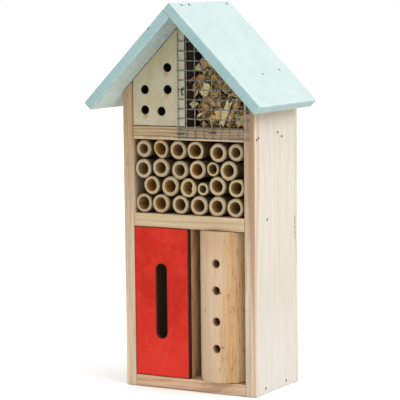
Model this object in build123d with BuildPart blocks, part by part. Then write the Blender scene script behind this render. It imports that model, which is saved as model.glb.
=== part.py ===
from build123d import *
from math import sqrt
import os

# Insect hotel: a small nailed wooden house with a pitched roof and four filled compartments.
# Millimetres. X is to the right, Y from the front to the back and Z up. The origin is on the
# ground, at the middle of the overall box.

# Driving dimensions
body_width = 100.0  # over the side boards
board_depth = 59.0  # side boards and shelves, front to back
panel_thickness = 3.0  # plywood back
apex_height = 260.0  # ridge above the ground
side_thickness = 8.0
base_thickness = 8.0
shelf_thickness = 9.0
middle_shelf_z = 109.5  # underside
upper_shelf_z = 168.5  # underside
roof_length = 94.0  # down the slope from the ridge, at a pitch of 45 degrees
roof_thickness = 7.0
roof_overhang = 22.5  # in front of the body
front_ply = 4.0  # plywood of the two closed fronts
divider_thickness = 4.0
hanger_thickness = 0.8
hanger_raise = 2.5  # the hanger's pressed-out middle, off the back panel
nail_radius = 0.6
nail_length = 20.0
nail_proud = 0.05  # how far a nail's head stands out of the wood

# Worked out from them
half = body_width / 2
inner = half - side_thickness
under_ridge = apex_height - roof_thickness * sqrt(2)
total_depth = roof_overhang + board_depth + panel_thickness + hanger_raise + hanger_thickness
front_y = roof_overhang - total_depth / 2
back_y = front_y + board_depth
rear_y = back_y + panel_thickness
attic_z = upper_shelf_z + shelf_thickness
tubes_z = middle_shelf_z + shelf_thickness


def under_roof(x):
    """Height of the roof's underside at a distance x from the middle."""
    return under_ridge - abs(x)


def facing(y):
    """Upright plane at depth y: its own X and Y are the model's X and Z, and its normal is -Y."""
    return Plane.XZ.offset(-y)


def keep(piece, name):
    """Labels a finished piece and writes it to its own file."""
    piece.part.label = name
    export_step(piece.part, f"parts/{name}.step")


def board(corners, y, depth):
    """A flat piece cut to an outline of (x, z) corners, from depth y backwards."""
    with BuildPart() as piece:
        with BuildSketch(facing(y)):
            with BuildLine():
                Polyline(*corners, close=True)
            make_face()
        extrude(amount=-depth)
    return piece


def block(x_low, x_high, z_low, z_high, y, depth):
    """A rectangular piece between the given sides, from depth y backwards."""
    corners = [(x_low, z_low), (x_high, z_low), (x_high, z_high), (x_low, z_high)]
    return board(corners, y, depth)


os.makedirs("parts", exist_ok=True)

# Case: two full-height sides, bevelled under the roof, with the bottom and two shelves between
for sign, name in ((-1, "left_side"), (1, "right_side")):
    outline = [(inner, 0), (half, 0), (half, under_roof(half)), (inner, under_roof(inner))]
    side = board([(sign * x, z) for x, z in outline], front_y, board_depth)
    keep(side, name)

bottom_board = block(-inner, inner, 0, base_thickness, front_y, board_depth)
keep(bottom_board, "bottom_board")

middle_shelf = block(-inner, inner, middle_shelf_z, tubes_z, front_y, board_depth)
keep(middle_shelf, "middle_shelf")

upper_shelf = block(-inner, inner, upper_shelf_z, attic_z, front_y, board_depth)
keep(upper_shelf, "upper_shelf")

# Roof: two painted boards at right angles. The right one runs up to the ridge and laps the
# left one's end. slope() gives a point down a board's top face and in through its thickness.
def slope(sign, down, into):
    """The (x, z) point of a roof board: sign is -1 on the left and 1 on the right."""
    return sign * (down - into) / sqrt(2), apex_height - (down + into) / sqrt(2)


for sign, name, start in ((-1, "left_roof_board", roof_thickness), (1, "right_roof_board", 0)):
    ends = ((start, 0), (roof_length, 0), (roof_length, roof_thickness), (start, roof_thickness))
    roof_board = board(
        [slope(sign, down, into) for down, into in ends],
        front_y - roof_overhang,
        roof_overhang + board_depth,
    )
    keep(roof_board, name)

# Plywood back, nailed on behind the boards
back_panel = board(
    [(-half, 0), (half, 0), (half, under_roof(half)), (0, under_roof(0)), (-half, under_roof(half))],
    back_y,
    panel_thickness,
)
keep(back_panel, "back_panel")

# Hanger: a steel strip with a keyhole, its middle pressed out so that a wall screw's head fits
# behind it, on two short screws
hanger_z = 222.0
hanger_half = 17.0
hanger_height = 18.0
hanger_foot = 7.0
bend_run = 2.0
corner_radius = 3.0
key_travel = 6.0  # how far the keyhole's narrow end is above its round one
key_radius = 4.0
key_slot_width = 4.0
screw_spacing = 27.0
screw_radius = 1.25
screw_hole_radius = 1.5
screw_length = 6.0
screw_head_radius = 2.5
screw_head_height = 1.2
head_rounding = 0.6
key_z = hanger_z - key_travel / 2

foot_end = hanger_half - hanger_foot
bent = [
    (-hanger_half, rear_y),
    (-foot_end, rear_y),
    (bend_run - foot_end, rear_y + hanger_raise),
    (foot_end - bend_run, rear_y + hanger_raise),
    (foot_end, rear_y),
    (hanger_half, rear_y),
]

with BuildPart() as hanger:
    with BuildSketch(Plane.XY.offset(hanger_z - hanger_height / 2)):
        with BuildLine():
            Polyline(*bent, *[(x, y + hanger_thickness) for x, y in reversed(bent)], close=True)
        make_face()
    extrude(amount=hanger_height)
    fillet(hanger.edges().filter_by(Axis.Y), radius=corner_radius)
    with BuildSketch(facing(rear_y)):
        with Locations((0, key_z)):
            Circle(key_radius)
        with Locations((0, hanger_z)):
            SlotCenterToCenter(key_travel, key_slot_width, rotation=90)
            with GridLocations(screw_spacing, 1, 2, 1):
                Circle(screw_hole_radius)
    extrude(amount=-(hanger_raise + hanger_thickness), mode=Mode.SUBTRACT)
keep(hanger, "hanger")

with BuildPart() as hanger_screws:
    with BuildSketch(facing(rear_y + hanger_thickness)):
        with Locations((0, hanger_z)):
            with GridLocations(screw_spacing, 1, 2, 1):
                Circle(screw_radius)
    extrude(amount=screw_length)
    with BuildSketch(facing(rear_y + hanger_thickness)):
        with Locations((0, hanger_z)):
            with GridLocations(screw_spacing, 1, 2, 1):
                Circle(screw_head_radius)
    extrude(amount=-screw_head_height)
    outer_rims = hanger_screws.edges().filter_by(GeomType.CIRCLE).group_by(Axis.Y)[-1]
    fillet(outer_rims, radius=head_rounding)
keep(hanger_screws, "hanger_screws")

# Dividers: upright strips behind the inner edges of the two closed fronts
attic_divider_x = -1.8  # right face
lower_divider_x = -1.0  # right face

attic_divider = board(
    [
        (attic_divider_x - divider_thickness, attic_z),
        (attic_divider_x, attic_z),
        (attic_divider_x, under_roof(attic_divider_x)),
        (attic_divider_x - divider_thickness, under_roof(attic_divider_x - divider_thickness)),
    ],
    front_y + front_ply,
    board_depth - front_ply,
)
keep(attic_divider, "attic_divider")

lower_divider = block(
    lower_divider_x - divider_thickness,
    lower_divider_x,
    base_thickness,
    middle_shelf_z,
    front_y + front_ply,
    board_depth - front_ply,
)
keep(lower_divider, "lower_divider")

# Ladybird front: laser-cut plywood under the left roof board, with five round entrances
ladybird_edge_x = -1.4
ladybird_hole_radius = 3.0
ladybird_holes = [(-14.8, 216.6), (-32.4, 201.7), (-14.8, 202.0), (-32.4, 188.1), (-19.7, 187.5)]

with BuildPart() as ladybird_front:
    with BuildSketch(facing(front_y)):
        with BuildLine():
            Polyline(
                (-inner, attic_z),
                (ladybird_edge_x, attic_z),
                (ladybird_edge_x, under_roof(ladybird_edge_x)),
                (-inner, under_roof(inner)),
                close=True,
            )
        make_face()
        with Locations(*ladybird_holes):
            Circle(ladybird_hole_radius, mode=Mode.SUBTRACT)
    extrude(amount=-front_ply)
keep(ladybird_front, "ladybird_front")

# Butterfly front: laser-cut plywood, painted red, with one upright slot
butterfly_edge_x = -0.6
slot_x = -21.4
slot_low = 34.2
slot_high = 84.8
slot_width = 8.2

with BuildPart() as butterfly_front:
    with BuildSketch(facing(front_y)):
        with BuildLine():
            Polyline(
                (-inner, base_thickness),
                (butterfly_edge_x, base_thickness),
                (butterfly_edge_x, middle_shelf_z),
                (-inner, middle_shelf_z),
                close=True,
            )
        make_face()
        with Locations((slot_x, (slot_low + slot_high) / 2)):
            SlotOverall(slot_high - slot_low, slot_width, rotation=90, mode=Mode.SUBTRACT)
    extrude(amount=-front_ply)
keep(butterfly_front, "butterfly_front")

# Log: a length of round wood with four blind holes drilled in from the front
log_radius = 19.7
log_x = 22.25
log_front_y = front_y - 3.6  # its front stands out past the body's
log_clearance = 0.3  # under the middle shelf
log_hole_radius = 3.0
log_holes = [(31.0, 31.0), (49.2, 33.0), (70.0, 30.0), (87.9, 32.0)]  # (height, depth)

with BuildPart() as log_block:
    with BuildSketch(Plane.XY.offset(base_thickness)):
        with Locations((log_x, log_front_y + log_radius)):
            Circle(log_radius)
    extrude(amount=middle_shelf_z - base_thickness - log_clearance)
    for z, depth in log_holes:
        with BuildSketch(facing(log_front_y)):
            with Locations((log_x, z)):
                Circle(log_hole_radius)
        extrude(amount=-depth, mode=Mode.SUBTRACT)
keep(log_block, "log_block")

# Bamboo tubes: four rows of six, bottom row first, as (x, height of the axis above the shelf,
# outside diameter, bore diameter). They are wedged in, not quite touching, as no cane is round.
tube_places = [
    (-35.5, 6.7, 12.9, 7.2), (-22.2, 7.0, 13.2, 7.4), (-7.4, 6.7, 12.8, 7.3),
    (7.2, 6.7, 13.3, 7.6), (20.9, 6.8, 13.5, 7.8), (34.7, 6.5, 12.8, 7.2),
    (-29.0, 18.9, 12.3, 7.2), (-15.0, 18.8, 13.6, 7.8), (-0.9, 18.3, 12.7, 7.0),
    (9.95, 17.9, 8.7, 4.7), (21.2, 20.3, 12.8, 7.4), (35.3, 19.4, 12.2, 7.4),
    (-35.3, 30.1, 12.9, 7.0), (-21.7, 31.0, 12.9, 7.4), (-7.4, 29.9, 13.0, 7.4),
    (6.2, 30.7, 12.6, 7.4), (17.7, 31.4, 9.3, 5.8), (29.8, 30.9, 13.0, 7.4),
    (-35.1, 43.4, 12.2, 7.4), (-21.4, 43.7, 11.8, 6.8), (-8.2, 43.3, 12.7, 7.8),
    (4.7, 43.4, 12.4, 7.4), (21.9, 42.4, 12.8, 7.4), (35.0, 43.0, 12.0, 7.0),
]
tube_end_gap = 0.4  # behind the tubes, in front of the back panel
tube_recesses = [1.2, 1.9, 1.5, 2.1, 1.4, 1.7, 1.1]  # front ends behind the body's front, in turn

for number, (x, height, outer, bore) in enumerate(tube_places, start=1):
    recess = tube_recesses[number % len(tube_recesses)]
    with BuildPart() as bamboo_tube:
        with BuildSketch(facing(front_y + recess)):
            with Locations((x, tubes_z + height)):
                Circle(outer / 2)
                Circle(bore / 2, mode=Mode.SUBTRACT)
        extrude(amount=-(board_depth - recess - tube_end_gap))
    keep(bamboo_tube, f"bamboo_tube_{number:02d}")

# Wood shavings: the heap that fills the right half of the attic, as one closed solid
shavings_recess = 5.0
shavings_end_gap = 3.0

wood_shavings = board(
    [(0.5, attic_z), (41.5, attic_z), (41.5, 207.0), (26.0, 222.5), (15.0, 223.0), (4.0, 205.0)],
    front_y + shavings_recess,
    board_depth - shavings_recess - shavings_end_gap,
)
keep(wood_shavings, "wood_shavings")

# Wire mesh: a welded grid, its upright wires in front, cut off along the roof
wire_radius = 0.4
wire_pitch = 6.38
wire_x = -6.2  # leftmost upright
upright_count = 9
crosswire_z = 170.2  # lowest crosswire
crosswire_count = 11
low_stub = 0.6  # the uprights run this far below the lowest crosswire
roof_clearance = 1.5
left_stub = 1.0
right_stub = 1.8
crosswire_y = front_y - 0.1 - wire_radius
upright_y = crosswire_y - 2 * wire_radius + 0.15  # welded a little into the crosswires

with BuildPart() as wire_mesh:
    for i in range(upright_count):
        x = wire_x + i * wire_pitch
        with BuildSketch(Plane.XY.offset(crosswire_z - low_stub)):
            with Locations((x, upright_y)):
                Circle(wire_radius)
        extrude(amount=under_roof(x) - roof_clearance - crosswire_z + low_stub)
    for i in range(crosswire_count):
        z = crosswire_z + i * wire_pitch
        left_end = wire_x - left_stub
        grid_right = wire_x + (upright_count - 1) * wire_pitch + right_stub
        right_end = min(grid_right, under_ridge - z - roof_clearance)
        with BuildSketch(Plane.YZ.offset(left_end)):
            with Locations((crosswire_y, z)):
                Circle(wire_radius)
        extrude(amount=right_end - left_end)
keep(wire_mesh, "wire_mesh")

# Mesh staples: flat-wire staples over the mesh, as (x, z, upright crown or level crown)
staple_crown = 5.2
staple_width = 0.9
staple_wire = 0.6
staple_leg = 6.0
staples = [(-2.9, 201.0, True), (-4.7, 172.9, False), (19.3, 174.2, False), (45.75, 189.6, True)]
crown_back_y = upright_y - wire_radius - 0.05

with BuildPart() as mesh_staples:
    for x, z, upright in staples:
        crown_front_y = crown_back_y - staple_wire
        middle_y = (crown_front_y + front_y + staple_leg) / 2
        leg_end = front_y + staple_leg - crown_front_y
        if upright:
            plane = Plane.YZ.offset(x - staple_width / 2)
            centre = (middle_y, z)
            size = (leg_end, staple_crown)
        else:
            plane = Plane.XY.offset(z - staple_width / 2)
            centre = (x, middle_y)
            size = (staple_crown, leg_end)
        gap = (size[0] - 2 * staple_wire, size[1] - 2 * staple_wire)
        with BuildSketch(plane):
            with Locations(centre):
                Rectangle(*size)
                if upright:
                    with Locations((staple_wire, 0)):
                        Rectangle(size[0], gap[1], mode=Mode.SUBTRACT)
                else:
                    with Locations((0, staple_wire)):
                        Rectangle(gap[0], size[1], mode=Mode.SUBTRACT)
        extrude(amount=staple_width)
keep(mesh_staples, "mesh_staples")

# Side nails, as (distance behind the front, height), into the ends of the shelves and bottom
right_nail_places = [(3.2, 170.1), (6.0, 171.2), (33.3, 173.1), (39.2, 170.0), (17.5, 116.5),
                     (13.9, 3.9), (43.8, 3.7)]
left_nail_places = [(6.5, 172.6), (29.0, 171.0), (47.5, 173.4), (15.0, 113.2), (40.5, 115.6),
                    (12.0, 4.3), (45.0, 3.8)]

with BuildPart() as right_side_nails:
    with BuildSketch(Plane.YZ.offset(half + nail_proud)):
        with Locations(*[(front_y + y, z) for y, z in right_nail_places]):
            Circle(nail_radius)
    extrude(amount=-nail_length)
keep(right_side_nails, "right_side_nails")

with BuildPart() as left_side_nails:
    with BuildSketch(Plane.YZ.offset(-half - nail_proud)):
        with Locations(*[(front_y + y, z) for y, z in left_nail_places]):
            Circle(nail_radius)
    extrude(amount=nail_length)
keep(left_side_nails, "left_side_nails")

# Back nails: through the plywood into the sides, the bottom and the shelves
back_nail_length = 15.0
side_nail_x = half - side_thickness / 2
back_nail_places = [(sign * side_nail_x, z) for sign in (-1, 1) for z in (14.0, 68.0, 128.0, 190.0)]
back_nail_places += [(sign * 21.0, z) for sign in (-1, 1) for z in (4.0, 114.0, 173.0)]

with BuildPart() as back_panel_nails:
    with BuildSketch(facing(rear_y + nail_proud)):
        with Locations(*back_nail_places):
            Circle(nail_radius)
    extrude(amount=back_nail_length)
keep(back_panel_nails, "back_panel_nails")

# Roof nails. Three go square through the right board into the left board's end. The lower ones
# go straight down into the tops of the sides, their heads cut to the slope.
ridge_nail_down = 2.9  # down the slope from the ridge
ridge_nail_places = [-9.4, 0.9, 52.0]  # behind the body's front
low_nail_places = [(1, 47.2, 17.0), (1, 45.6, 44.3), (-1, 46.4, 14.0), (-1, 47.0, 46.0)]
above_ridge = (0, front_y, apex_height + nail_proud * sqrt(2))
right_slope = Plane(origin=above_ridge, x_dir=(1, 0, -1), z_dir=(1, 0, 1))
left_slope = Plane(origin=above_ridge, x_dir=(-1, 0, -1), z_dir=(-1, 0, 1))

with BuildPart() as ridge_nails:
    with BuildSketch(right_slope):
        with Locations(*[(ridge_nail_down, y) for y in ridge_nail_places]):
            Circle(nail_radius)
    extrude(amount=-nail_length)

with BuildPart() as low_nails:
    for sign, x, y in low_nail_places:
        with BuildSketch(Plane.XY.offset(apex_height - x - nail_length)):
            with Locations((sign * x, front_y + y)):
                Circle(nail_radius)
        extrude(amount=nail_length + 2 * nail_radius)
    split(bisect_by=right_slope, keep=Keep.BOTTOM)
    split(bisect_by=left_slope, keep=Keep.BOTTOM)

with BuildPart() as roof_nails:
    add(ridge_nails.part)
    add(low_nails.part)
keep(roof_nails, "roof_nails")
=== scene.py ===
import math

import bmesh
import bpy
import numpy as np
from mathutils import Matrix, Vector


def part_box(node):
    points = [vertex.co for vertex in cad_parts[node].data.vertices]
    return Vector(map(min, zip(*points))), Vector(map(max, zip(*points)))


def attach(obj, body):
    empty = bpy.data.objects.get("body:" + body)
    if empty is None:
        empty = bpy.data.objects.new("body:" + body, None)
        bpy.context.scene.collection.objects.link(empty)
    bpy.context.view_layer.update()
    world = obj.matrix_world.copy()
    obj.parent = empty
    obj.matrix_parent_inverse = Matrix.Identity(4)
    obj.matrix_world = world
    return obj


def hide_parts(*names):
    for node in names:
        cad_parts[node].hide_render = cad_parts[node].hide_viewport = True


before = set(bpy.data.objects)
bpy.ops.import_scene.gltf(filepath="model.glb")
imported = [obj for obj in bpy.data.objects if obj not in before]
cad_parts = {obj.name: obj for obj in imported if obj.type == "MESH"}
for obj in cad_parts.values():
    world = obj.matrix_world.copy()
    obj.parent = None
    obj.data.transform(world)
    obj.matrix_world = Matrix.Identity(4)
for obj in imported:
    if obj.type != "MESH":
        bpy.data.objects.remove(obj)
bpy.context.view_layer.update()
mm = 0.001


# ---------------------------------------------------------------------------------------------
# The studio: a white table that runs out of sight, an even white surround, and one large soft
# lamp above the right of the front, with a long-lens camera to the right of the house.

def daylight(around, above):
    """A surround that brightens from its horizon to its top. The camera sees it as plain white."""
    world = bpy.data.worlds.new("surround")
    world.use_nodes = True
    tree = world.node_tree
    glow = tree.nodes["Background"]
    direction = tree.nodes.new("ShaderNodeTexCoord")
    height = tree.nodes.new("ShaderNodeSeparateXYZ")
    rise = tree.nodes.new("ShaderNodeMapRange")
    rise.inputs["To Min"].default_value = around
    rise.inputs["To Max"].default_value = above
    plain = tree.nodes.new("ShaderNodeBackground")
    seen = tree.nodes.new("ShaderNodeLightPath")
    choice = tree.nodes.new("ShaderNodeMixShader")
    for start, end in (
        (direction.outputs["Generated"], height.inputs[0]),
        (height.outputs["Z"], rise.inputs["Value"]),
        (rise.outputs["Result"], glow.inputs["Strength"]),
        (seen.outputs["Is Camera Ray"], choice.inputs[0]),
        (glow.outputs[0], choice.inputs[1]),
        (plain.outputs[0], choice.inputs[2]),
        (choice.outputs[0], tree.nodes["World Output"].inputs["Surface"]),
    ):
        tree.links.new(start, end)
    glow.inputs["Color"].default_value = (1.0, 1.0, 1.0, 1.0)
    plain.inputs["Color"].default_value = (1.0, 1.0, 1.0, 1.0)
    bpy.context.scene.world = world


def soft_lamp(name, place, aim, size, watts, colour=(1.0, 1.0, 1.0)):
    """A square soft box at a place in metres, turned to face a point."""
    lamp = bpy.data.lights.new(name, "AREA")
    lamp.size = size
    lamp.energy = watts
    lamp.color = colour
    holder = bpy.data.objects.new(name, lamp)
    holder.location = place
    facing = np.array(aim) - np.array(place)
    holder.rotation_euler = direction_vector(facing).to_track_quat("-Z", "Y").to_euler()
    bpy.context.collection.objects.link(holder)


def direction_vector(values):
    """The same three numbers as a Blender vector."""
    return Vector([float(value) for value in values])


def camera_round(aim, azimuth, elevation, distance, lens, roll):
    """A camera that looks at aim from an angle to the right of the front, tipped by a roll."""
    turn, lift = math.radians(azimuth), math.radians(elevation)
    back = direction_vector(
        (math.sin(turn) * math.cos(lift), -math.cos(turn) * math.cos(lift), math.sin(lift))
    )
    lens_data = bpy.data.cameras.new("camera")
    lens_data.lens = lens
    lens_data.clip_start = 0.05
    lens_data.clip_end = 50.0
    camera = bpy.data.objects.new("camera", lens_data)
    look = (-back).to_track_quat("-Z", "Y").to_matrix().to_4x4()
    place = Matrix.Translation(direction_vector(aim) + back * distance)
    camera.matrix_world = place @ look @ Matrix.Rotation(math.radians(roll), 4, "Z")
    bpy.context.collection.objects.link(camera)
    bpy.context.scene.camera = camera


def table_top():
    """A flat white surface just under the house."""
    reach, drop = 6.0, 0.0001
    corners = [(reach * x, reach * y, -drop) for x, y in ((-1, -1), (1, -1), (1, 1), (-1, 1))]
    mesh = bpy.data.meshes.new("table_top")
    mesh.from_pydata(corners, [], [(0, 1, 2, 3)])
    table = bpy.data.objects.new("table_top", mesh)
    bpy.context.collection.objects.link(table)
    white = bpy.data.materials.new("table_white")
    white.use_nodes = True
    shader = white.node_tree.nodes["Principled BSDF"]
    shader.inputs["Base Color"].default_value = (0.85, 0.85, 0.85, 1.0)
    shader.inputs["Roughness"].default_value = 0.9
    shader.inputs["Specular IOR Level"].default_value = 0.1
    mesh.materials.append(white)


daylight(around=0.5, above=1.7)
table_top()
bpy.context.scene.view_settings.view_transform = "Standard"
middle = (-0.0068, 0.0066, 0.1258)
camera_round(middle, azimuth=29.48, elevation=6.375, distance=1.3224, lens=175.5, roll=-0.60)
soft_lamp("key_lamp", (1.5, -0.2, 1.15), middle, size=1.0, watts=22.0)


# ---------------------------------------------------------------------------------------------
# The case: two upright softwood boards with a bottom and two shelves nailed between them. The
# boards are sawn, lightly sanded and left bare, so their arrises are soft and a little uneven.

ARRIS_MARK = "arris"  # 1 on a rounded edge of a board and 0 on its faces
CRISP = 0.3  # a corner no rounder than this many millimetres is cut sharp and stays unworn


def node_box(node):
    """Lowest and highest corner of a node, in millimetres."""
    low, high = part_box(node)
    return np.array(low) / mm, np.array(high) / mm


def lattice(rows, columns, closed=True):
    """Quads of a grid of rows by columns points; each row joins up with its start if closed."""
    here = np.arange(rows * columns).reshape(rows, columns)
    beside = np.roll(here, -1, axis=1)
    if not closed:
        here, beside = here[:, :-1], beside[:, :-1]
    quads = np.stack([here[:-1], beside[:-1], beside[1:], here[1:]], axis=-1)
    return quads.reshape(-1, 4).tolist()


def shell_of(grid, order=1):
    """Points and faces of a grid of closed rings, its first and last rings filled in.

    The order says which way round the first ring is listed: 1 or -1.
    """
    rows, columns = grid.shape[:2]
    ends = [list(range(columns))[::order], list(range((rows - 1) * columns, rows * columns))]
    return grid.reshape(-1, 3), lattice(rows, columns) + ends


def waves(along, across, seed, count=5):
    """A smooth wandering between -1 and 1: the mean of a few sine waves of two lengths."""
    draw = np.random.default_rng(seed)
    total = 0.0
    for _ in range(count):
        pitch_along, pitch_across = draw.uniform(9.0, 60.0), draw.uniform(9.0, 60.0)
        phase = draw.uniform(0.0, 2 * math.pi)
        total = total + np.sin(2 * math.pi * (along / pitch_along + across / pitch_across) + phase)
    return total / count


def softened(corners, radii, margin=0.8, step=6.0):
    """A polygon with round corners: points, outward normals, and two marks.

    Corners run counterclockwise. Each arc is centred on the corner's bisector, its radius from
    both sides, and the straight runs between arcs have a point every step or so. The first mark
    is 1 on the arcs that are worn round; the second is the room that the arc there leaves.
    """
    corners = np.asarray(corners, float)
    radii = np.broadcast_to(radii, len(corners))
    before, after = np.roll(corners, 1, axis=0), np.roll(corners, -1, axis=0)
    arcs = []
    for corner, behind, ahead, radius in zip(corners, before, after, radii):
        back = (behind - corner) / np.linalg.norm(behind - corner)
        forth = (ahead - corner) / np.linalg.norm(ahead - corner)
        half = math.acos(np.clip(back @ forth, -1, 1)) / 2
        bisector = (back + forth) / np.linalg.norm(back + forth)
        centre = corner + bisector * radius / math.sin(half)
        sweep = math.pi - 2 * half
        start = math.atan2(-bisector[1], -bisector[0]) - sweep / 2
        turn = start + np.linspace(0, sweep, 5)
        normals = np.stack([np.cos(turn), np.sin(turn)], axis=1)
        arcs.append((centre + radius * normals, normals))
    points, outward, worn, room = [], [], [], []
    for i, (arc, normals) in enumerate(arcs):
        radius, other = radii[i], np.roll(radii, -1)[i]
        run = arcs[(i + 1) % len(arcs)][0][0] - arc[-1]
        length = np.linalg.norm(run)
        inner = max(int(length / step), 2)
        share = np.linspace(margin / length, 1 - margin / length, inner)[:, None]
        side = np.array([run[1], -run[0]]) / length
        points += [arc, arc[-1] + share * run]
        outward += [normals, np.tile(side, (inner, 1))]
        worn += [np.full(len(arc), float(radius > CRISP)), np.zeros(inner)]
        room += [np.full(len(arc), radius), np.full(inner, max(radius, other))]
    return tuple(np.concatenate(parts) for parts in (points, outward, worn, room))


def slab(corners, front, back, corner_radius=0.8, soft=0.7, wander=0.12, seed=1):
    """A board cut to an outline of (x, z) corners, between two depths, with rounded arrises.

    The point at outline angle u and station v is the outline moved in along its normal by
    soft (1 - sin a), at soft (1 - cos a) behind the face, as a runs through a quarter turn;
    the walls between stay on the outline, less a slow wander of their own.
    """
    outline, normals, corner_marks, room = softened(corners, corner_radius)
    margin = 1.2
    length = np.concatenate([[0], np.cumsum(np.linalg.norm(np.diff(outline, axis=0), axis=1))])
    uneven = soft * (1 + 0.35 * waves(length, 0.0, seed + 50))
    uneven = np.minimum(uneven, 0.7 * room)[:, None]
    centre = outline.mean(axis=0)
    axis = np.linalg.svd(outline - centre, full_matrices=False)[2]
    reach = (outline - centre) @ axis.T
    spare = max(np.abs(reach[:, 0]).max() - np.abs(reach[:, 1]).max(), 0)
    spine = centre + np.clip(reach[:, :1], -spare, spare) * axis[:1]
    inset = outline - uneven * normals
    inward = spine - inset
    gap = np.linalg.norm(inward, axis=1, keepdims=True)
    face = inset + inward * np.minimum(1, margin / gap)
    rows, marks = [(face, front)], [0.0]
    for turn in np.radians([0, 30, 60, 90]):
        rows.append((inset + uneven * np.sin(turn) * normals, front + soft * (1 - np.cos(turn))))
        marks.append(math.sin(2 * turn) * 0.5 + 0.5)
    for depth in np.linspace(front + soft + margin, back - soft - margin, 10):
        rows.append((outline, depth))
        marks.append(0.0)
    for turn in np.radians([90, 60, 30, 0]):
        rows.append((inset + uneven * np.sin(turn) * normals, back - soft * (1 - np.cos(turn))))
        marks.append(math.sin(2 * turn) * 0.5 + 0.5)
    rows.append((face, back))
    marks.append(0.0)
    count = len(outline)
    flat = np.stack([row for row, _ in rows])
    depth = np.array([depth for _, depth in rows])[:, None] * np.ones(count)
    shift = np.minimum(wander * (0.5 + 0.5 * waves(length[None, :], depth, seed)), 0.2 * room)
    flat = flat - shift[..., None] * normals[None]
    grid = np.stack([flat[..., 0], depth, flat[..., 1]], axis=-1)
    points, faces = shell_of(grid, order=-1)
    arris = np.maximum(np.array(marks)[:, None] * (room > CRISP), corner_marks[None, :])
    arris[[0, -1]] = 0.0
    return points, faces, arris.ravel()


def piece(name, points, faces, finish, slot, nodes, sharp=40.0, **marks):
    """Makes a piece from points in millimetres, and puts it on the house in place of its nodes.

    Points that coincide are merged and the faces turned outwards.
    """
    mesh = bpy.data.meshes.new(name)
    mesh.from_pydata((np.asarray(points) * mm).tolist(), [], faces)
    for mark, values in marks.items():
        held = mesh.attributes.new(mark, "FLOAT", "POINT")
        held.data.foreach_set("value", np.asarray(values, float))
    shell = bmesh.new()
    shell.from_mesh(mesh)
    bmesh.ops.remove_doubles(shell, verts=shell.verts, dist=2e-6)
    bmesh.ops.recalc_face_normals(shell, faces=shell.faces)
    shell.to_mesh(mesh)
    shell.free()
    mesh.polygons.foreach_set("use_smooth", np.ones(len(mesh.polygons), bool))
    mesh.set_sharp_from_angle(angle=math.radians(sharp))
    mesh.materials.append(finish)
    made = bpy.data.objects.new(name, mesh)
    bpy.context.collection.objects.link(made)
    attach(made, "root")
    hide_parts(*nodes)
    return made


class Tone:
    """A number, place or colour that varies over a surface. Arithmetic on it adds Math nodes."""

    def __init__(self, tree, socket):
        self.tree, self.socket = tree, socket

    def worked(self, operation, *others):
        """The result of a Math node on this tone and the others."""
        return add_node(self.tree, "ShaderNodeMath", self, *others, operation=operation)

    def __add__(self, other):
        return self.worked("ADD", other)

    def __sub__(self, other):
        return self.worked("SUBTRACT", other)

    def __mul__(self, other):
        return self.worked("MULTIPLY", other)

    def __truediv__(self, other):
        return self.worked("DIVIDE", other)

    def __pow__(self, other):
        return self.worked("POWER", other)

    def __abs__(self):
        return self.worked("ABSOLUTE")


def pour(value, target, tree):
    """Links a tone to a socket, or sets the socket to a plain value."""
    if isinstance(value, Tone):
        tree.links.new(value.socket, target)
    elif value is not None:
        target.default_value = value


def add_node(tree, kind, *values, output=0, **settings):
    """Adds a node with its settings and first inputs, and gives one of its outputs as a tone."""
    node = tree.nodes.new(kind)
    for setting, value in settings.items():
        setattr(node, setting, value)
    for value, target in zip(values, node.inputs):
        pour(value, target, tree)
    return Tone(tree, node.outputs[output])


def step_up(tone, low, high):
    """0 below low, 1 above high and a smooth step between; the other way round if low > high."""
    return add_node(
        tone.tree, "ShaderNodeMapRange", tone, low, high, 0.0, 1.0, interpolation_type="SMOOTHSTEP"
    )


def either(one, other):
    """The larger of two tones."""
    return one.worked("MAXIMUM", other)


def mottle(place, stretch, detail=2.0, roughness=0.5):
    """Noise between 0 and 1 on a place in millimetres, with so many lumps per millimetre."""
    stretch = stretch if isinstance(stretch, tuple) else (stretch,) * 3
    spread = add_node(place.tree, "ShaderNodeVectorMath", place, stretch, operation="MULTIPLY")
    return add_node(place.tree, "ShaderNodeTexNoise", spread, None, 1.0, detail, roughness)


def as_light(colour):
    """A colour given in the 0 to 255 steps of a paint chart, as linear light; a tone stays."""
    if isinstance(colour, Tone):
        return colour
    steps = np.array(colour) / 255.0
    light = np.where(steps <= 0.04045, steps / 12.92, ((steps + 0.055) / 1.055) ** 2.4)
    return (*light.tolist(), 1.0)


def stain(under, over, share):
    """One colour laid over another by a share between 0 and 1."""
    tree = share.tree
    node = tree.nodes.new("ShaderNodeMix")
    node.data_type = "RGBA"
    for value, place in ((share, 0), (as_light(under), 6), (as_light(over), 7)):
        pour(value, node.inputs[place], tree)
    return Tone(tree, node.outputs[2])


def shaded(colour, factor):
    """A colour made lighter or darker by a factor."""
    node = colour.tree.nodes.new("ShaderNodeVectorMath")
    node.operation = "SCALE"
    pour(colour, node.inputs[0], colour.tree)
    pour(factor, node.inputs["Scale"], colour.tree)
    return Tone(colour.tree, node.outputs[0])


def blank_finish(name, roughness, specular=0.3):
    """A new material: (material, node tree, its main shader)."""
    material = bpy.data.materials.new(name)
    material.use_nodes = True
    shader = material.node_tree.nodes["Principled BSDF"]
    shader.inputs["Roughness"].default_value = roughness
    shader.inputs["Specular IOR Level"].default_value = specular
    return material, material.node_tree, shader


def place_on(tree, shift=(0, 0, 0), turn=(0, 0, 0)):
    """The place on the house in millimetres, turned by degrees and then shifted."""
    object_place = add_node(tree, "ShaderNodeTexCoord", output=3)
    turn = tuple(math.radians(angle) for angle in turn)
    return add_node(tree, "ShaderNodeMapping", object_place, shift, turn, (1 / mm,) * 3)


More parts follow.
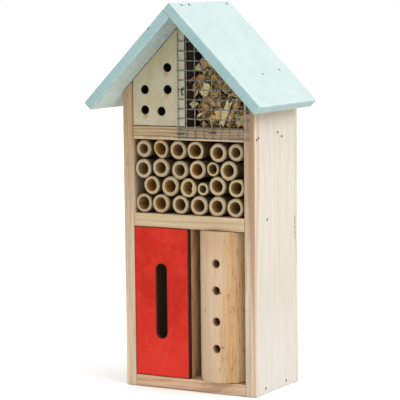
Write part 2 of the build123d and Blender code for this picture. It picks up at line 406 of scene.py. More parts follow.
def parts_of(place):
    """The x, y and z of a place, as three tones."""
    node = place.tree.nodes.new("ShaderNodeSeparateXYZ")
    place.tree.links.new(place.socket, node.inputs[0])
    return [Tone(place.tree, output) for output in node.outputs]


def normal_on(tree):
    """The x, y and z of the direction that the surface faces."""
    return parts_of(add_node(tree, "ShaderNodeTexCoord", output=1))


def mark_on(tree, name):
    """A number that the piece's mesh holds for each of its points."""
    return add_node(tree, "ShaderNodeAttribute", attribute_name=name, output=2)


def hypotenuse(one, other):
    """The root of the sum of two squares."""
    return (one * one + other * other).worked("SQRT")


def spot(x, z, middle, wide=1.0, tall=1.0, lean=0.0):
    """Distance from the middle of a spot on an upright face, in shares of its half sizes."""
    up = z - middle[1]
    return hypotenuse((x - middle[0] - up * lean) / wide, up / tall)


def coat(shader, colour, roughness=None):
    """Gives a shader its colour, and its roughness where that varies."""
    pour(colour, shader.inputs["Base Color"], colour.tree)
    pour(roughness, shader.inputs["Roughness"], colour.tree)


def relief(shader, height, depth):
    """Raises the surface by a height between 0 and 1 times a depth in millimetres."""
    tree = height.tree
    bump = tree.nodes.new("ShaderNodeBump")
    bump.inputs["Distance"].default_value = depth * mm
    bump.inputs["Strength"].default_value = 1.0
    tree.links.new(height.socket, bump.inputs["Height"])
    tree.links.new(bump.outputs["Normal"], shader.inputs["Normal"])


def open_group(name, **inputs):
    """A new node group and its inputs as tones: (group, tones)."""
    group = bpy.data.node_groups.new(name, "ShaderNodeTree")
    for label, kind in inputs.items():
        group.interface.new_socket(name=label, in_out="INPUT", socket_type=f"NodeSocket{kind}")
    node = group.nodes.new("NodeGroupInput")
    return group, [Tone(group, node.outputs[label]) for label in inputs]


def close_group(group, **outputs):
    """Leads tones to a node group's outputs, and gives the group."""
    node = group.nodes.new("NodeGroupOutput")
    for label, tone in outputs.items():
        group.interface.new_socket(name=label, in_out="OUTPUT", socket_type="NodeSocketFloat")
        group.links.new(tone.socket, node.inputs[label])
    return group


def use_group(group, tree, *values):
    """Places a node group with values for its inputs, and gives its outputs as tones."""
    node = tree.nodes.new("ShaderNodeGroup")
    node.node_tree = group
    for value, target in zip(values, node.inputs):
        pour(value, target, tree)
    return [Tone(tree, output) for output in node.outputs]


def sawn_grain_group():
    """Wood cut from a trunk whose middle is the z axis: rings round it, and fibres along it."""
    group, (place, ring_width, wander) = open_group(
        "sawn_grain", Place="Vector", Ring_Width="Float", Wander="Float"
    )
    x, y, _ = parts_of(place)
    sway = mottle(place, (0.035, 0.035, 0.007), detail=2.0)
    sway_too = mottle(place, (0.05, 0.02, 0.011), detail=1.0)
    x = x + (sway - 0.5) * wander
    y = y + (sway_too - 0.5) * wander
    radius = hypotenuse(x, y)
    turn = (radius / ring_width).worked("FRACT")
    early = step_up(turn, 0.15, 0.86)
    late = step_up(turn, 1.0, 0.9)
    rings = early * early * late
    fibres = mottle(place, (1.3, 1.3, 0.035), detail=5.0, roughness=0.62)
    broad = mottle(place, (0.22, 0.22, 0.012), detail=3.0, roughness=0.5)
    specks = mottle(place, (1.5, 1.5, 0.16), detail=2.0, roughness=0.6)
    flecks = step_up(specks, 0.66, 0.74)
    return close_group(
        group, Rings=rings, Fibres=fibres * 0.6 + broad * 0.4, Flecks=flecks,
        Height=fibres * 0.7 + rings * 0.3,
    )


SAWN_GRAIN = sawn_grain_group()


def grain_of(place, ring_width, wander):
    """The grain's rings, fibres, flecks and height at a place given along the trunk."""
    return use_group(SAWN_GRAIN, place.tree, place, ring_width, wander)


ALONG_Z = (0, 0, 0)
ALONG_X = (0, -90, 0)


def bare_softwood(name, pale, deep, turn, pith, ring_width, wander, contrast, depth, marks=None):
    """Bare softwood: pale earlywood, deeper ring lines, fine fibres and small dark flecks."""
    material, tree, shader = blank_finish(name, roughness=0.72)
    rings, fibres, flecks, height = grain_of(place_on(tree, pith, turn), ring_width, wander)
    colour = stain(pale, deep, rings * contrast)
    if marks:
        colour = marks(tree, colour)
    colour = shaded(colour, (fibres - 0.5) * depth + 1.0)
    colour = stain(colour, (122, 98, 72), flecks * 0.35)
    arris = mark_on(tree, ARRIS_MARK)
    colour = shaded(colour, arris * 0.1 + 1.0)
    coat(shader, colour, roughness=height * -0.12 + 0.78)
    relief(shader, height, 0.12)
    return material


side_low, side_high = node_box("right_side")
inner, half = side_low[0], side_high[0]
front_y = side_low[1]
under_ridge = side_high[2] + inner
behind_front = -front_y  # adds to a y to give the distance behind the front


def under_roof(x):
    """Height of the roof's underside over a place x from the middle."""
    return under_ridge - abs(x)


def right_side_marks(tree, colour):
    """The front edge, greyer than the face and darker towards the top, partly as painted shade; the
    pink heartwood that runs round the arris; a painted shadow under the eave; and painted light,
    paler towards the table.
    """
    x, y, z = parts_of(place_on(tree, (0, behind_front, 0)))
    wrap = x + y - half  # negative on the front edge, positive round on the outer face
    drift = (mottle(place_on(tree), (0.04, 0.04, 0.03)) - 0.5) * 2.4
    on_front = step_up(y, 0.9, 0.2)
    rise = step_up(z, 20.0, 150.0)
    # The front edge darkens towards the top: partly the wood's own tone, partly painted shade under
    # the eave.
    front = stain((190, 173, 150), (166, 139, 110), step_up(z, 30.0, 170.0))
    heart = stain((184, 157, 131), (155, 127, 99), step_up(z, 20.0, 150.0))
    dashes = mottle(place_on(tree), (0.9, 0.9, 0.2), detail=2.0)
    front = stain(front, (130, 116, 98), step_up(dashes, 0.66, 0.76) * 0.5)
    lines = mottle(place_on(tree), (0.55, 0.3, 0.022), detail=3.0, roughness=0.6)
    front = shaded(front, (lines - 0.5) * 1.3 + 1.02)
    left_limit = rise * -2.7 - 1.5 + drift * 0.5
    front = stain(front, heart, step_up(wrap - left_limit, -0.5, 0.4))
    centre = step_up(z, 50.0, 170.0) * 4.0 + step_up(z, 25.0, 0.0) * 2.2 + 1.0 + drift * 0.5
    width = step_up(z, 60.0, 170.0) * 1.1 + step_up(z, 25.0, 0.0) * 2.0 + 0.9
    band = step_up(abs(wrap - centre) / width, 1.35, 0.5) * step_up(x, half - 1.0, half - 0.3)
    colour = stain(colour, (180, 152, 130), band * 0.9)
    streaks = mottle(place_on(tree), (0.3, 0.6, 0.022), detail=2.0)
    colour = stain(colour, (160, 150, 134), step_up(streaks, 0.58, 0.74) * 0.5)
    # Painted light: the face turns paler and greyer towards the bottom, for light thrown up off the
    # white table.
    colour = stain(colour, (194, 190, 182), step_up(z, 80.0, 0.0) * 0.6)
    bark = mottle(place_on(tree), (0.8, 1.2, 0.5), detail=2.0)
    bark = step_up(bark, 0.42, 0.52) * step_up(y, 56.6, 57.6) * step_up(abs(z - 107.0), 10.0, 6.0)
    colour = stain(colour, (104, 80, 58), bark * 0.8)
    # Painted shadow: the outer face darkens under the eave, where the roof's overhang shades it.
    eave = step_up(z, 170.0, 196.0)
    colour = stain(colour, (176, 160, 134), eave * 0.6)
    return stain(colour, front, on_front)


def left_side_marks(tree, colour):
    """Painted shade darkening towards the eave, partly the wood's own tone; an orange-brown line
    beside the ladybird front; and dark dashes.
    """
    x, y, z = parts_of(place_on(tree, (0, behind_front, 0)))
    # Painted shade, partly the wood's own tone: darker towards the eave, where the roof's overhang
    # shades the front.
    colour = stain(colour, (164, 141, 108), step_up(z, 60.0, 190.0))
    line = step_up(x, -inner - 1.7, -inner - 0.7) * step_up(z, 160.0, 174.0)
    colour = stain(colour, (150, 102, 66), line * 0.75)
    low = step_up(x, -inner - 2.2, -inner - 1.2) * step_up(z, 120.0, 90.0) * 0.3
    colour = stain(colour, (176, 142, 108), low)
    dashes = [((-47.6, 180.0), 0.5, 0.9), ((-47.2, 154.0), 0.22, 3.8), ((-46.6, 151.6), 0.2, 2.0)]
    for middle, wide, tall in dashes:
        near = spot(x, z, middle, wide, tall, lean=0.12)
        colour = stain(colour, (96, 74, 50), step_up(near, 1.4, 0.5) * step_up(y, 1.0, 0.3) * 0.7)
    return colour


def dark_streaks(tree, colour):
    """Long resin streaks along a level board."""
    place = place_on(tree)
    streaks = mottle(place, (0.018, 0.5, 0.5), detail=3.0, roughness=0.6)
    colour = stain(colour, (148, 112, 82), step_up(streaks, 0.5, 0.66) * 0.8)
    dashes = mottle(place, (0.12, 1.1, 1.1), detail=2.0)
    return stain(colour, (128, 92, 64), step_up(dashes, 0.66, 0.76) * 0.6)


def ragged_rim(tree, colour):
    """Paler torn wood along a level board's lower front arris."""
    place = place_on(tree)
    z = parts_of(place)[2]
    lowest = float(node_box("upper_shelf")[0][2])
    torn = z - lowest + (mottle(place, 0.3, detail=3.0) - 0.5) * 3.0
    return stain(colour, (196, 174, 140), step_up(torn, 1.9, 0.9) * 0.8)


def side_board(sign):
    """Corners of a side board, counterclockwise as seen from the front."""
    right = [(inner, 0), (half, 0), (half, under_roof(half)), (inner, under_roof(inner))]
    return right if sign > 0 else [(-x, z) for x, z in right[::-1]]


def board(node, word, corners, finish, slot, **cut):
    """A board as deep as its node, in place of it."""
    low, high = node_box(node)
    points, faces, arris = slab(corners, low[1], high[1], **cut)
    piece(f"{node}_{word}", points, faces, finish, slot, [node], arris=arris)


def case_board(node, corners, finish, seed):
    """One bare board of the case."""
    board(node, "board", corners, finish, "softwood", seed=seed)


def four_corners(low, high, tops=None):
    """Corners of an upright face, counterclockwise; its right and left tops may be given."""
    right_top, left_top = tops or (high[2], high[2])
    return [(low[0], low[2]), (high[0], low[2]), (high[0], right_top), (low[0], left_top)]


case_board(
    "right_side",
    side_board(1),
    bare_softwood(
        "right_side_wood", (184, 178, 166), (176, 165, 148), ALONG_Z, (-14, 40, 0),
        ring_width=6.0, wander=22.0, contrast=0.3, depth=0.4, marks=right_side_marks,
    ),
    seed=3,
)
case_board(
    "left_side",
    side_board(-1),
    bare_softwood(
        "left_side_wood", (200, 179, 153), (188, 162, 132), ALONG_Z, (30, 34, 0),
        ring_width=3.6, wander=8.0, contrast=0.7, depth=1.5, marks=left_side_marks,
    ),
    seed=4,
)


def shelf(node, finish, seed):
    """A level board between the sides."""
    case_board(node, four_corners(*node_box(node)), finish, seed)


shelf(
    "bottom_board",
    bare_softwood(
        "bottom_wood", (197, 165, 135), (175, 136, 104), ALONG_X, (12, 60, 0),
        ring_width=2.6, wander=9.0, contrast=0.6, depth=1.6, marks=dark_streaks,
    ),
    seed=5,
)
shelf(
    "middle_shelf",
    bare_softwood(
        "middle_shelf_wood", (187, 166, 134), (170, 145, 110), ALONG_X, (-80, 30, 0),
        ring_width=4.0, wander=10.0, contrast=0.6, depth=1.1,
    ),
    seed=6,
)
shelf(
    "upper_shelf",
    bare_softwood(
        "upper_shelf_wood", (166, 145, 113), (128, 100, 70), ALONG_X, (-160, 34, 0),
        ring_width=2.6, wander=14.0, contrast=0.8, depth=2.4, marks=ragged_rim,
    ),
    seed=7,
)


# ---------------------------------------------------------------------------------------------
# The roof: two softwood boards at right angles under a thin coat of matt turquoise paint. The
# right board runs up to the ridge and laps the left one. The paint wears thin on the arrises.

roof_low, roof_high = node_box("right_roof_board")
ridge_z = roof_high[2]
roof_length = roof_high[0] * math.sqrt(2)
roof_thickness = -roof_low[0] * math.sqrt(2)


def on_slope(sign, down, into):
    """The (x, z) point of a roof board, so far down its face and so far in through it."""
    return sign * (down - into) / math.sqrt(2), ridge_z - (down + into) / math.sqrt(2)


def roof_corners(sign, start):
    """Corners of a roof board from its upper end, counterclockwise."""
    ends = [(start, roof_thickness), (roof_length, roof_thickness), (roof_length, 0), (start, 0)]
    corners = [on_slope(sign, down, into) for down, into in ends]
    return corners if sign > 0 else corners[::-1]


paint_lap = -roof_low[1] - 1.5  # adds to a y to give the distance past the paint's edge underneath
paint_chip = (-15.5, 243.0)  # x and z of a small chip in the left board's front


def turquoise_paint(name, sign, pith):
    """Matt paint over sawn wood, thinner on the sawn ends and thinnest underneath; its upward faces
    are lighter as a painted sheen.

    The grain shows through as low ridges and paler lines.
    """
    material, tree, shader = blank_finish(name, roughness=0.6, specular=0.3)
    place = place_on(tree, pith, (0, -90 + sign * 45, 0))
    rings, fibres, _, height = grain_of(place, 3.2, 12.0)
    across, _, up = normal_on(tree)
    cloud = mottle(place_on(tree), 0.045, detail=3.0)
    top = stain((164, 180, 179), (169, 184, 182), step_up(cloud, 0.35, 0.65))
    edge = stain((142, 172, 172), (148, 176, 175), step_up(cloud, 0.35, 0.65))
    # Painted sheen: faces that look upwards take the lighter top colour, for the light that falls
    # on the slopes.
    colour = stain(edge, top, step_up(up, 0.3, 0.6))
    down = step_up(up, -0.3, -0.6)
    streaks = mottle(place, (0.5, 0.5, 0.02), detail=3.0)
    bare = stain((171, 186, 180), (153, 166, 160), step_up(streaks, 0.42, 0.66))
    low = step_up(parts_of(place_on(tree))[2], 240.0, 190.0)
    bare = stain(bare, (186, 202, 194), low * 0.75)
    ragged = (mottle(place_on(tree), 0.12) - 0.5) * 6.0
    lap = parts_of(place_on(tree, (0, paint_lap, 0)))[1] + ragged
    colour = stain(colour, bare, down * step_up(across * -sign, 0.2, 0.5) * step_up(lap, 0.0, 0.8))
    colour = stain(colour, (143, 164, 161), down * step_up(across * sign, 0.2, 0.5))
    colour = shaded(colour, (fibres - 0.5) * 0.2 + rings * 0.02 + 1.0)
    if sign < 0:
        x, _, z = parts_of(place_on(tree))
        colour = stain(colour, (78, 84, 80), step_up(spot(x, z, paint_chip), 0.75, 0.4))
    arris = mark_on(tree, ARRIS_MARK)
    worn = step_up(mottle(place_on(tree), 0.5, detail=4.0) + arris * 0.3, 0.62, 0.86)
    colour = stain(colour, (186, 198, 192), worn * 0.6)
    coat(shader, colour)
    relief(shader, height, 0.06)
    return material


def roof_board(node, sign, start, radii, seed):
    """One painted roof board."""
    finish = turquoise_paint(f"{node}_paint", sign, (20 * sign, 30, 0))
    board(
        node, "painted", roof_corners(sign, start), finish, "roof_paint",
        corner_radius=radii, soft=0.6, wander=0.1, seed=seed,
    )


roof_board("right_roof_board", 1, 0.0, [0.7, 0.7, 0.7, 0.7], seed=11)
roof_board("left_roof_board", -1, roof_thickness, [0.15, 0.7, 0.7, 0.15], seed=12)


# ---------------------------------------------------------------------------------------------
# The back and the dividers: thin plywood with a plain rotary-cut face. The back is nailed on
# behind the boards; the dividers stand behind the inner edges of the two closed fronts.

def plain_plywood(name, pale, deep, turn, marks=None):
    """Rotary-cut veneer: broad, faint, wavering figure and short pores along the grain."""
    material, tree, shader = blank_finish(name, roughness=0.66)
    place = place_on(tree, (7, 260, 0), turn)
    rings, fibres, _, height = grain_of(place, 9.0, 46.0)
    colour = stain(pale, deep, rings * 0.5)
    colour = shaded(colour, (fibres - 0.5) * 0.4 + 1.0)
    pores = step_up(mottle(place, (2.2, 2.2, 0.3), detail=1.0), 0.68, 0.76)
    colour = stain(colour, (112, 90, 64), pores * 0.3)
    if marks:
        colour = marks(tree, colour)
    coat(shader, colour)
    relief(shader, height, 0.05)
    return material


eave_z = under_roof(half)
board(
    "back_panel", "sheet",
    [(-half, 0), (half, 0), (half, eave_z), (0, under_ridge), (-half, eave_z)],
    plain_plywood("back_wood", (188, 180, 164), (178, 164, 140), ALONG_Z),
    "natural_plywood", corner_radius=0.5, soft=0.25, wander=0.05, seed=21,
)


def painted_back_shade(tree, colour):
    """Painted shade that deepens towards the back of the cell."""
    y = parts_of(place_on(tree, (0, behind_front, 0)))[1]
    return stain(colour, (86, 46, 26), step_up(y, 6.0, 24.0) * 0.8)


attic_low, attic_high = node_box("attic_divider")
attic_tops = (under_roof(attic_high[0]), under_roof(attic_low[0]))
# The attic divider is painted near-black brown as painted shade, for the deep shadow beside the
# ladybird front.
attic_shade_wood = plain_plywood("attic_divider_shade_wood", (84, 70, 54), (66, 54, 40), ALONG_Z)
lower_wood = plain_plywood(
    "lower_divider_wood", (220, 178, 138), (176, 132, 94), ALONG_Z, marks=painted_back_shade
)
for node, tops, finish, seed in (
    ("attic_divider", attic_tops, attic_shade_wood, 22),
    ("lower_divider", None, lower_wood, 23),
):
    board(
        node, "strip", four_corners(*node_box(node), tops), finish, "natural_plywood",
        corner_radius=0.4, soft=0.25, wander=0.05, seed=seed,
    )


# ---------------------------------------------------------------------------------------------
# The two closed fronts: thin plywood cut by laser, so every cut edge is charred dark brown and
# the face is scorched in a fine line beside it. The ladybird front has five round entrances and
# is left bare; the butterfly front has one upright slot and is painted red.

def cell_of(outline, centre, others):
    """The part of a convex outline that is nearer to a hole's centre than to the others."""
    cell = [np.array(corner, float) for corner in outline]
    for other in others:
        across = np.array(other) - np.array(centre)
        limit = across @ (np.array(other) + np.array(centre)) / 2
        kept = []
        for corner, following in zip(cell, cell[1:] + cell[:1]):
            here, there = corner @ across - limit, following @ across - limit
            if here <= 0:
                kept.append(corner)
            if here * there < 0:
                kept.append(corner + (following - corner) * here / (here - there))
        cell = kept
    return np.array(cell)


def stepped(corners, step):
    """Points along the sides of a polygon, evenly spaced on each side."""
    points = []
    for corner, following in zip(corners, np.roll(corners, -1, axis=0)):
        run = following - corner
        count = max(round(np.linalg.norm(run) / step), 1)
        points.append(corner + np.linspace(0, 1, count, endpoint=False)[:, None] * run)
    return np.concatenate(points)


def sides_of(outline):
    """Each side of a counterclockwise outline, as its first corner and its outward normal."""
    outline = np.array(outline, float)
    run = np.roll(outline, -1, axis=0) - outline
    run /= np.linalg.norm(run, axis=1, keepdims=True)
    return list(zip(outline, np.stack([run[:, 1], -run[:, 0]], axis=1)))


def holed_cell(cell, low, high, radius, front, back, blind=False, step=1.2, lip=0.12):
    """One cell of a sheet with a hole through it, as a grid from its front edge to its back edge.

    Each column starts at a point of the cell's edge and runs to the nearest point of the hole's
    centre line, stops at the hole's rim, turns through a small lip, and goes down the wall. A
    through hole then comes out the same way on the back; a blind one closes over its floor.
    """
    edge = stepped(cell, step)
    low, high = np.array(low, float), np.array(high, float)
    line = high - low
    along = np.clip((edge - low) @ line / max(line @ line, 1e-9), 0, 1)[:, None]
    core = low + along * line
    outward = edge - core
    away = np.linalg.norm(outward, axis=1, keepdims=True)
    outward = outward / away
    surface = front if callable(front) else (lambda x: np.full_like(x, front))
    rows = []
    for share in (1.0, 0.6, 0.3, 0.1):
        flat = core + outward * (radius + lip + share * (away - radius - lip))
        rows.append((flat, surface(flat[:, 0])))
    rim = core + outward * radius
    rim_y = surface(rim[:, 0])
    for share in (0.0, 0.5, 1.0):
        spread = radius + lip * (1 - math.sin(share * math.pi / 2))
        flat = core + outward * spread
        rows.append((flat, rim_y + lip * (1 - math.cos(share * math.pi / 2))))
    for share in (0.15, 0.4, 0.7, 1.0):
        rows.append((rim, rim_y + lip + share * (back - lip - rim_y - lip)))
    if blind:
        for share in (0.97, 0.6, 0.3, 0.0):
            rows.append((core + outward * radius * share, np.full(len(edge), back)))
    else:
        rows.append((rim, np.full(len(edge), back)))
        for share in (0.1, 0.4, 1.0):
            flat = core + outward * (radius + share * (away - radius))
            rows.append((flat, np.full(len(edge), back)))
    return np.stack([np.stack([flat[:, 0], depth, flat[:, 1]], axis=-1) for flat, depth in rows])


def holed_sheet(outline, cells, front, back):
    """A flat sheet made of holed cells, closed round its outline: (points, faces)."""
    points, faces, start = [], [], 0
    for cell, low, high, radius in cells:
        grid = holed_cell(cell, low, high, radius, front, back)
        rows, columns = grid.shape[:2]
        faces += (np.array(lattice(rows, columns)) + start).tolist()
        edge = grid[0][:, [0, 2]]
        following = np.roll(edge, -1, axis=0)
        for corner, side in sides_of(outline):
            off = np.maximum(abs((edge - corner) @ side), abs((following - corner) @ side))
            on_side = np.flatnonzero(off < 1e-6)
            after = (on_side + 1) % columns
            last = (rows - 1) * columns
            walls = np.stack([on_side, on_side + last, after + last, after], axis=-1)
            faces += (walls + start).tolist()
        points.append(grid.reshape(-1, 3))
        start += rows * columns
    return np.concatenate(points), faces


def nearness(x, z, low, high, radius):
    """Distance from an upright slot or a round hole's rim, as a tone."""
    clamped = (z - low[1]).worked("MAXIMUM", 0.0).worked("MINIMUM", high[1] - low[1])
    return hypotenuse(x - low[0], z - low[1] - clamped) - radius


def laser_char_group():
    """How far the laser's heat shows: charred on a cut wall, and scorched by distance from it."""
    group, (distance, facing) = open_group("laser_char", Distance="Float", Facing="Float")
    ragged = distance + mottle(place_on(group), 0.7, detail=4.0) * 0.9
    char = either(step_up(facing, 0.8, 0.5), step_up(ragged, 1.0, 0.6))
    return close_group(group, Char=char, Scorch=step_up(ragged, 1.9, 0.3))


LASER_CHAR = laser_char_group()


def charred(tree, distance):
    """The char and scorch at a distance from the nearest cut."""
    return use_group(LASER_CHAR, tree, distance, abs(normal_on(tree)[1]))


def edge_distance(x, z, outline):
    """Distance in from the nearest side of a convex outline, as a tone."""
    nearest = None
    for corner, side in sides_of(outline):
        inside = x * -side[0] + z * -side[1] + float(corner @ side)
        nearest = inside if nearest is None else nearest.worked("MINIMUM", inside)
    return nearest


CHAR_BROWN = (38, 26, 20)

ladybird_low, ladybird_high = node_box("ladybird_front")
ladybird_hole_radius = 3.0
ladybird_holes = [(-14.8, 216.6), (-32.4, 201.7), (-14.8, 202.0), (-32.4, 188.1), (-19.7, 187.5)]
smoke_radius = 1.7
smoke_places = [(0, -1.4), (2, -0.6), (3, -0.2), (3, 0.5)]  # a hole's number, and the mark's lean
ladybird_tops = (under_roof(ladybird_high[0]), under_roof(ladybird_low[0]))
ladybird_outline = four_corners(ladybird_low, ladybird_high, ladybird_tops)


def ladybird_marks(tree, colour):
    """Charred cuts, and a brown smoke mark under some of the holes."""
    x, _, z = parts_of(place_on(tree))
    distance = edge_distance(x, z, ladybird_outline)
    for hole in ladybird_holes:
        rim = nearness(x, z, hole, hole, ladybird_hole_radius) + 0.45
        distance = distance.worked("MINIMUM", rim)
    char, scorch = charred(tree, distance)
    cloud = mottle(place_on(tree), 0.06, detail=3.0)
    colour = stain(colour, (168, 158, 116), step_up(cloud, 0.45, 0.7) * 0.5)
    specks = mottle(place_on(tree), (0.9, 0.9, 0.5), detail=3.0, roughness=0.7)
    colour = shaded(colour, (specks - 0.5) * 0.35 + 1.0)
    colour = stain(colour, (187, 179, 158), step_up(x, -7.4, -5.8) * 0.6)
    low = step_up(cloud, 0.6, 0.4) * step_up(z, 206.0, 182.0)
    colour = stain(colour, (184, 170, 152), low * 0.6)
    for number, lean in smoke_places:
        centre_x, centre_z = ladybird_holes[number]
        middle = (centre_x + lean, centre_z - ladybird_hole_radius - 0.9)
        near = spot(x, z, middle, smoke_radius, smoke_radius)
        colour = stain(colour, (168, 128, 76), step_up(near, 1.6, 0.2) * 0.65)
    colour = stain(colour, (128, 100, 66), scorch * 0.25)
    return stain(colour, CHAR_BROWN, char)


ladybird_cells = []
for hole in ladybird_holes:
    rest = [other for other in ladybird_holes if other != hole]
    ladybird_cells.append((cell_of(ladybird_outline, hole, rest), hole, hole, ladybird_hole_radius))
points, faces = holed_sheet(ladybird_outline, ladybird_cells, ladybird_low[1], ladybird_high[1])
ladybird_wood = plain_plywood(
    "ladybird_wood", (178, 170, 144), (168, 158, 130), ALONG_Z, marks=ladybird_marks
)
piece("ladybird_front_sheet", points, faces, ladybird_wood, "natural_plywood", ["ladybird_front"])

butterfly_low, butterfly_high = node_box("butterfly_front")
butterfly_outline = four_corners(butterfly_low, butterfly_high)
slot_x, slot_radius = -21.4, 4.1
slot_low, slot_high = (slot_x, 34.2 + slot_radius), (slot_x, 84.8 - slot_radius)


def red_paint():
    """Matt red paint brushed on thin plywood, mottled and lighter towards the bottom as painted
    light, with the cut edges charred through it.
    """
    material, tree, shader = blank_finish("butterfly_red", roughness=0.7, specular=0.12)
    place = place_on(tree)
    x, _, z = parts_of(place)
    distance = edge_distance(x, z, butterfly_outline)
    distance = distance.worked("MINIMUM", nearness(x, z, slot_low, slot_high, slot_radius))
    char, scorch = charred(tree, distance)
    cloud = mottle(place, 0.07, detail=4.0, roughness=0.6)
    brush = mottle(place, (0.8, 0.8, 0.05), detail=4.0, roughness=0.6)
    smears = mottle(place, 0.35, detail=4.0, roughness=0.7)
    colour = stain((182, 36, 24), (196, 48, 34), step_up(cloud, 0.38, 0.66))
    # Painted light: the red turns lighter towards the bottom, away from the roof's shade.
    colour = stain(colour, (216, 56, 44), step_up(z, 66.0, 10.0) * 0.6)
    colour = shaded(colour, (brush - 0.5) * 0.3 + (smears - 0.5) * 0.4 + 1.0)
    nicks = step_up(mottle(place, 0.45, detail=2.0), 0.76, 0.8)
    colour = stain(colour, (214, 100, 74), nicks * 0.5)
    colour = stain(colour, (104, 24, 18), scorch * 0.4)
    colour = stain(colour, (64, 36, 26), char)
    coat(shader, colour)
    relief(shader, brush, 0.08)
    return material


butterfly_cell = (np.array(butterfly_outline, float), slot_low, slot_high, slot_radius)
points, faces = holed_sheet(
    butterfly_outline, [butterfly_cell], butterfly_low[1], butterfly_high[1]
)
piece("butterfly_front_sheet", points, faces, red_paint(), "red_plywood", ["butterfly_front"])


# ---------------------------------------------------------------------------------------------
# The log: a length of peeled branch, sawn square at both ends, with four holes drilled into its
# front. Its sapwood is cream on the left and shades to orange-tan heartwood on the right.

log_low, log_high = node_box("log_block")
log_radius = (log_high[0] - log_low[0]) / 2
log_x, log_y = (log_low[0] + log_high[0]) / 2, (log_low[1] + log_high[1]) / 2
log_hole_radius = 3.0
log_holes = [(31.0, 31.0), (49.2, 33.0), (70.0, 30.0), (87.9, 32.0)]  # height and depth of each


def log_surface(x):
    """Depth of the log's front over a place x."""
    return log_y - np.sqrt(log_radius**2 - (np.asarray(x) - log_x) ** 2)


def log_shell():
    """The log: a front strip of drilled cells, and the rest of the cylinder carried round it."""
    strip, step, margin = 8.0, 1.2, 0.9
    bottom, top = log_low[2] + margin, log_high[2] - margin
    middles = [(low + high) / 2 for (low, _), (high, _) in zip(log_holes, log_holes[1:])]
    levels = [bottom, *middles, top]
    points, faces, start, heights = [], [], 0, []
    for (height, depth), low, high in zip(log_holes, levels, levels[1:]):
        cell = np.array(four_corners((log_x - strip, 0, low), (log_x + strip, 0, high)))
        hole, floor = (log_x, height), log_low[1] + depth
        grid = holed_cell(
            cell, hole, hole, log_hole_radius, log_surface, floor, blind=True, step=step
        )
        faces += (np.array(lattice(*grid.shape[:2])) + start).tolist()
        points.append(grid.reshape(-1, 3))
        start += grid.shape[0] * grid.shape[1]
        count = max(round((high - low) / step), 1)
        heights.append(np.linspace(low, high, count, endpoint=False))
    heights = np.concatenate([*heights, [top]])
    edge_turn = math.asin(strip / log_radius)
    turn = np.linspace(edge_turn, 2 * math.pi - edge_turn, 90)
    count = round(2 * strip / step)
    across = log_x - strip + np.linspace(0, 2 * strip, count, endpoint=False)
    front_turn = np.arcsin((across - log_x) / log_radius)
    sweep, level = np.meshgrid(turn, heights)
    body = np.stack(
        [log_x + log_radius * np.sin(sweep), log_y - log_radius * np.cos(sweep), level], axis=-1
    )
    faces += (np.array(lattice(*body.shape[:2], closed=False)) + start).tolist()
    points.append(body.reshape(-1, 3))
    start += body.shape[0] * body.shape[1]
    loop = np.concatenate([front_turn, turn])
    for level, sign, seed in ((bottom, -1, 31), (top, 1, 32)):
        chip = 0.5 + 0.5 * waves(loop * 20.0, 0.0, seed, count=9)
        rows = []
        for lift, inset in ((0.0, 0.0), (0.45, 0.06), (0.75, 0.3), (margin, 0.8)):
            radius = log_radius - inset * (0.5 + chip)
            height = np.full(len(loop), level + sign * lift)
            ring = [log_x + radius * np.sin(loop), log_y - radius * np.cos(loop), height]
            rows.append(np.stack(ring, axis=-1))
        end = np.stack(rows)
        faces += (np.array(lattice(*end.shape[:2])) + start).tolist()
        last = start + (len(rows) - 1) * len(loop)
        faces.append(list(range(last, last + len(loop))))
        points.append(end.reshape(-1, 3))
        start += end.shape[0] * end.shape[1]
    return np.concatenate(points), faces


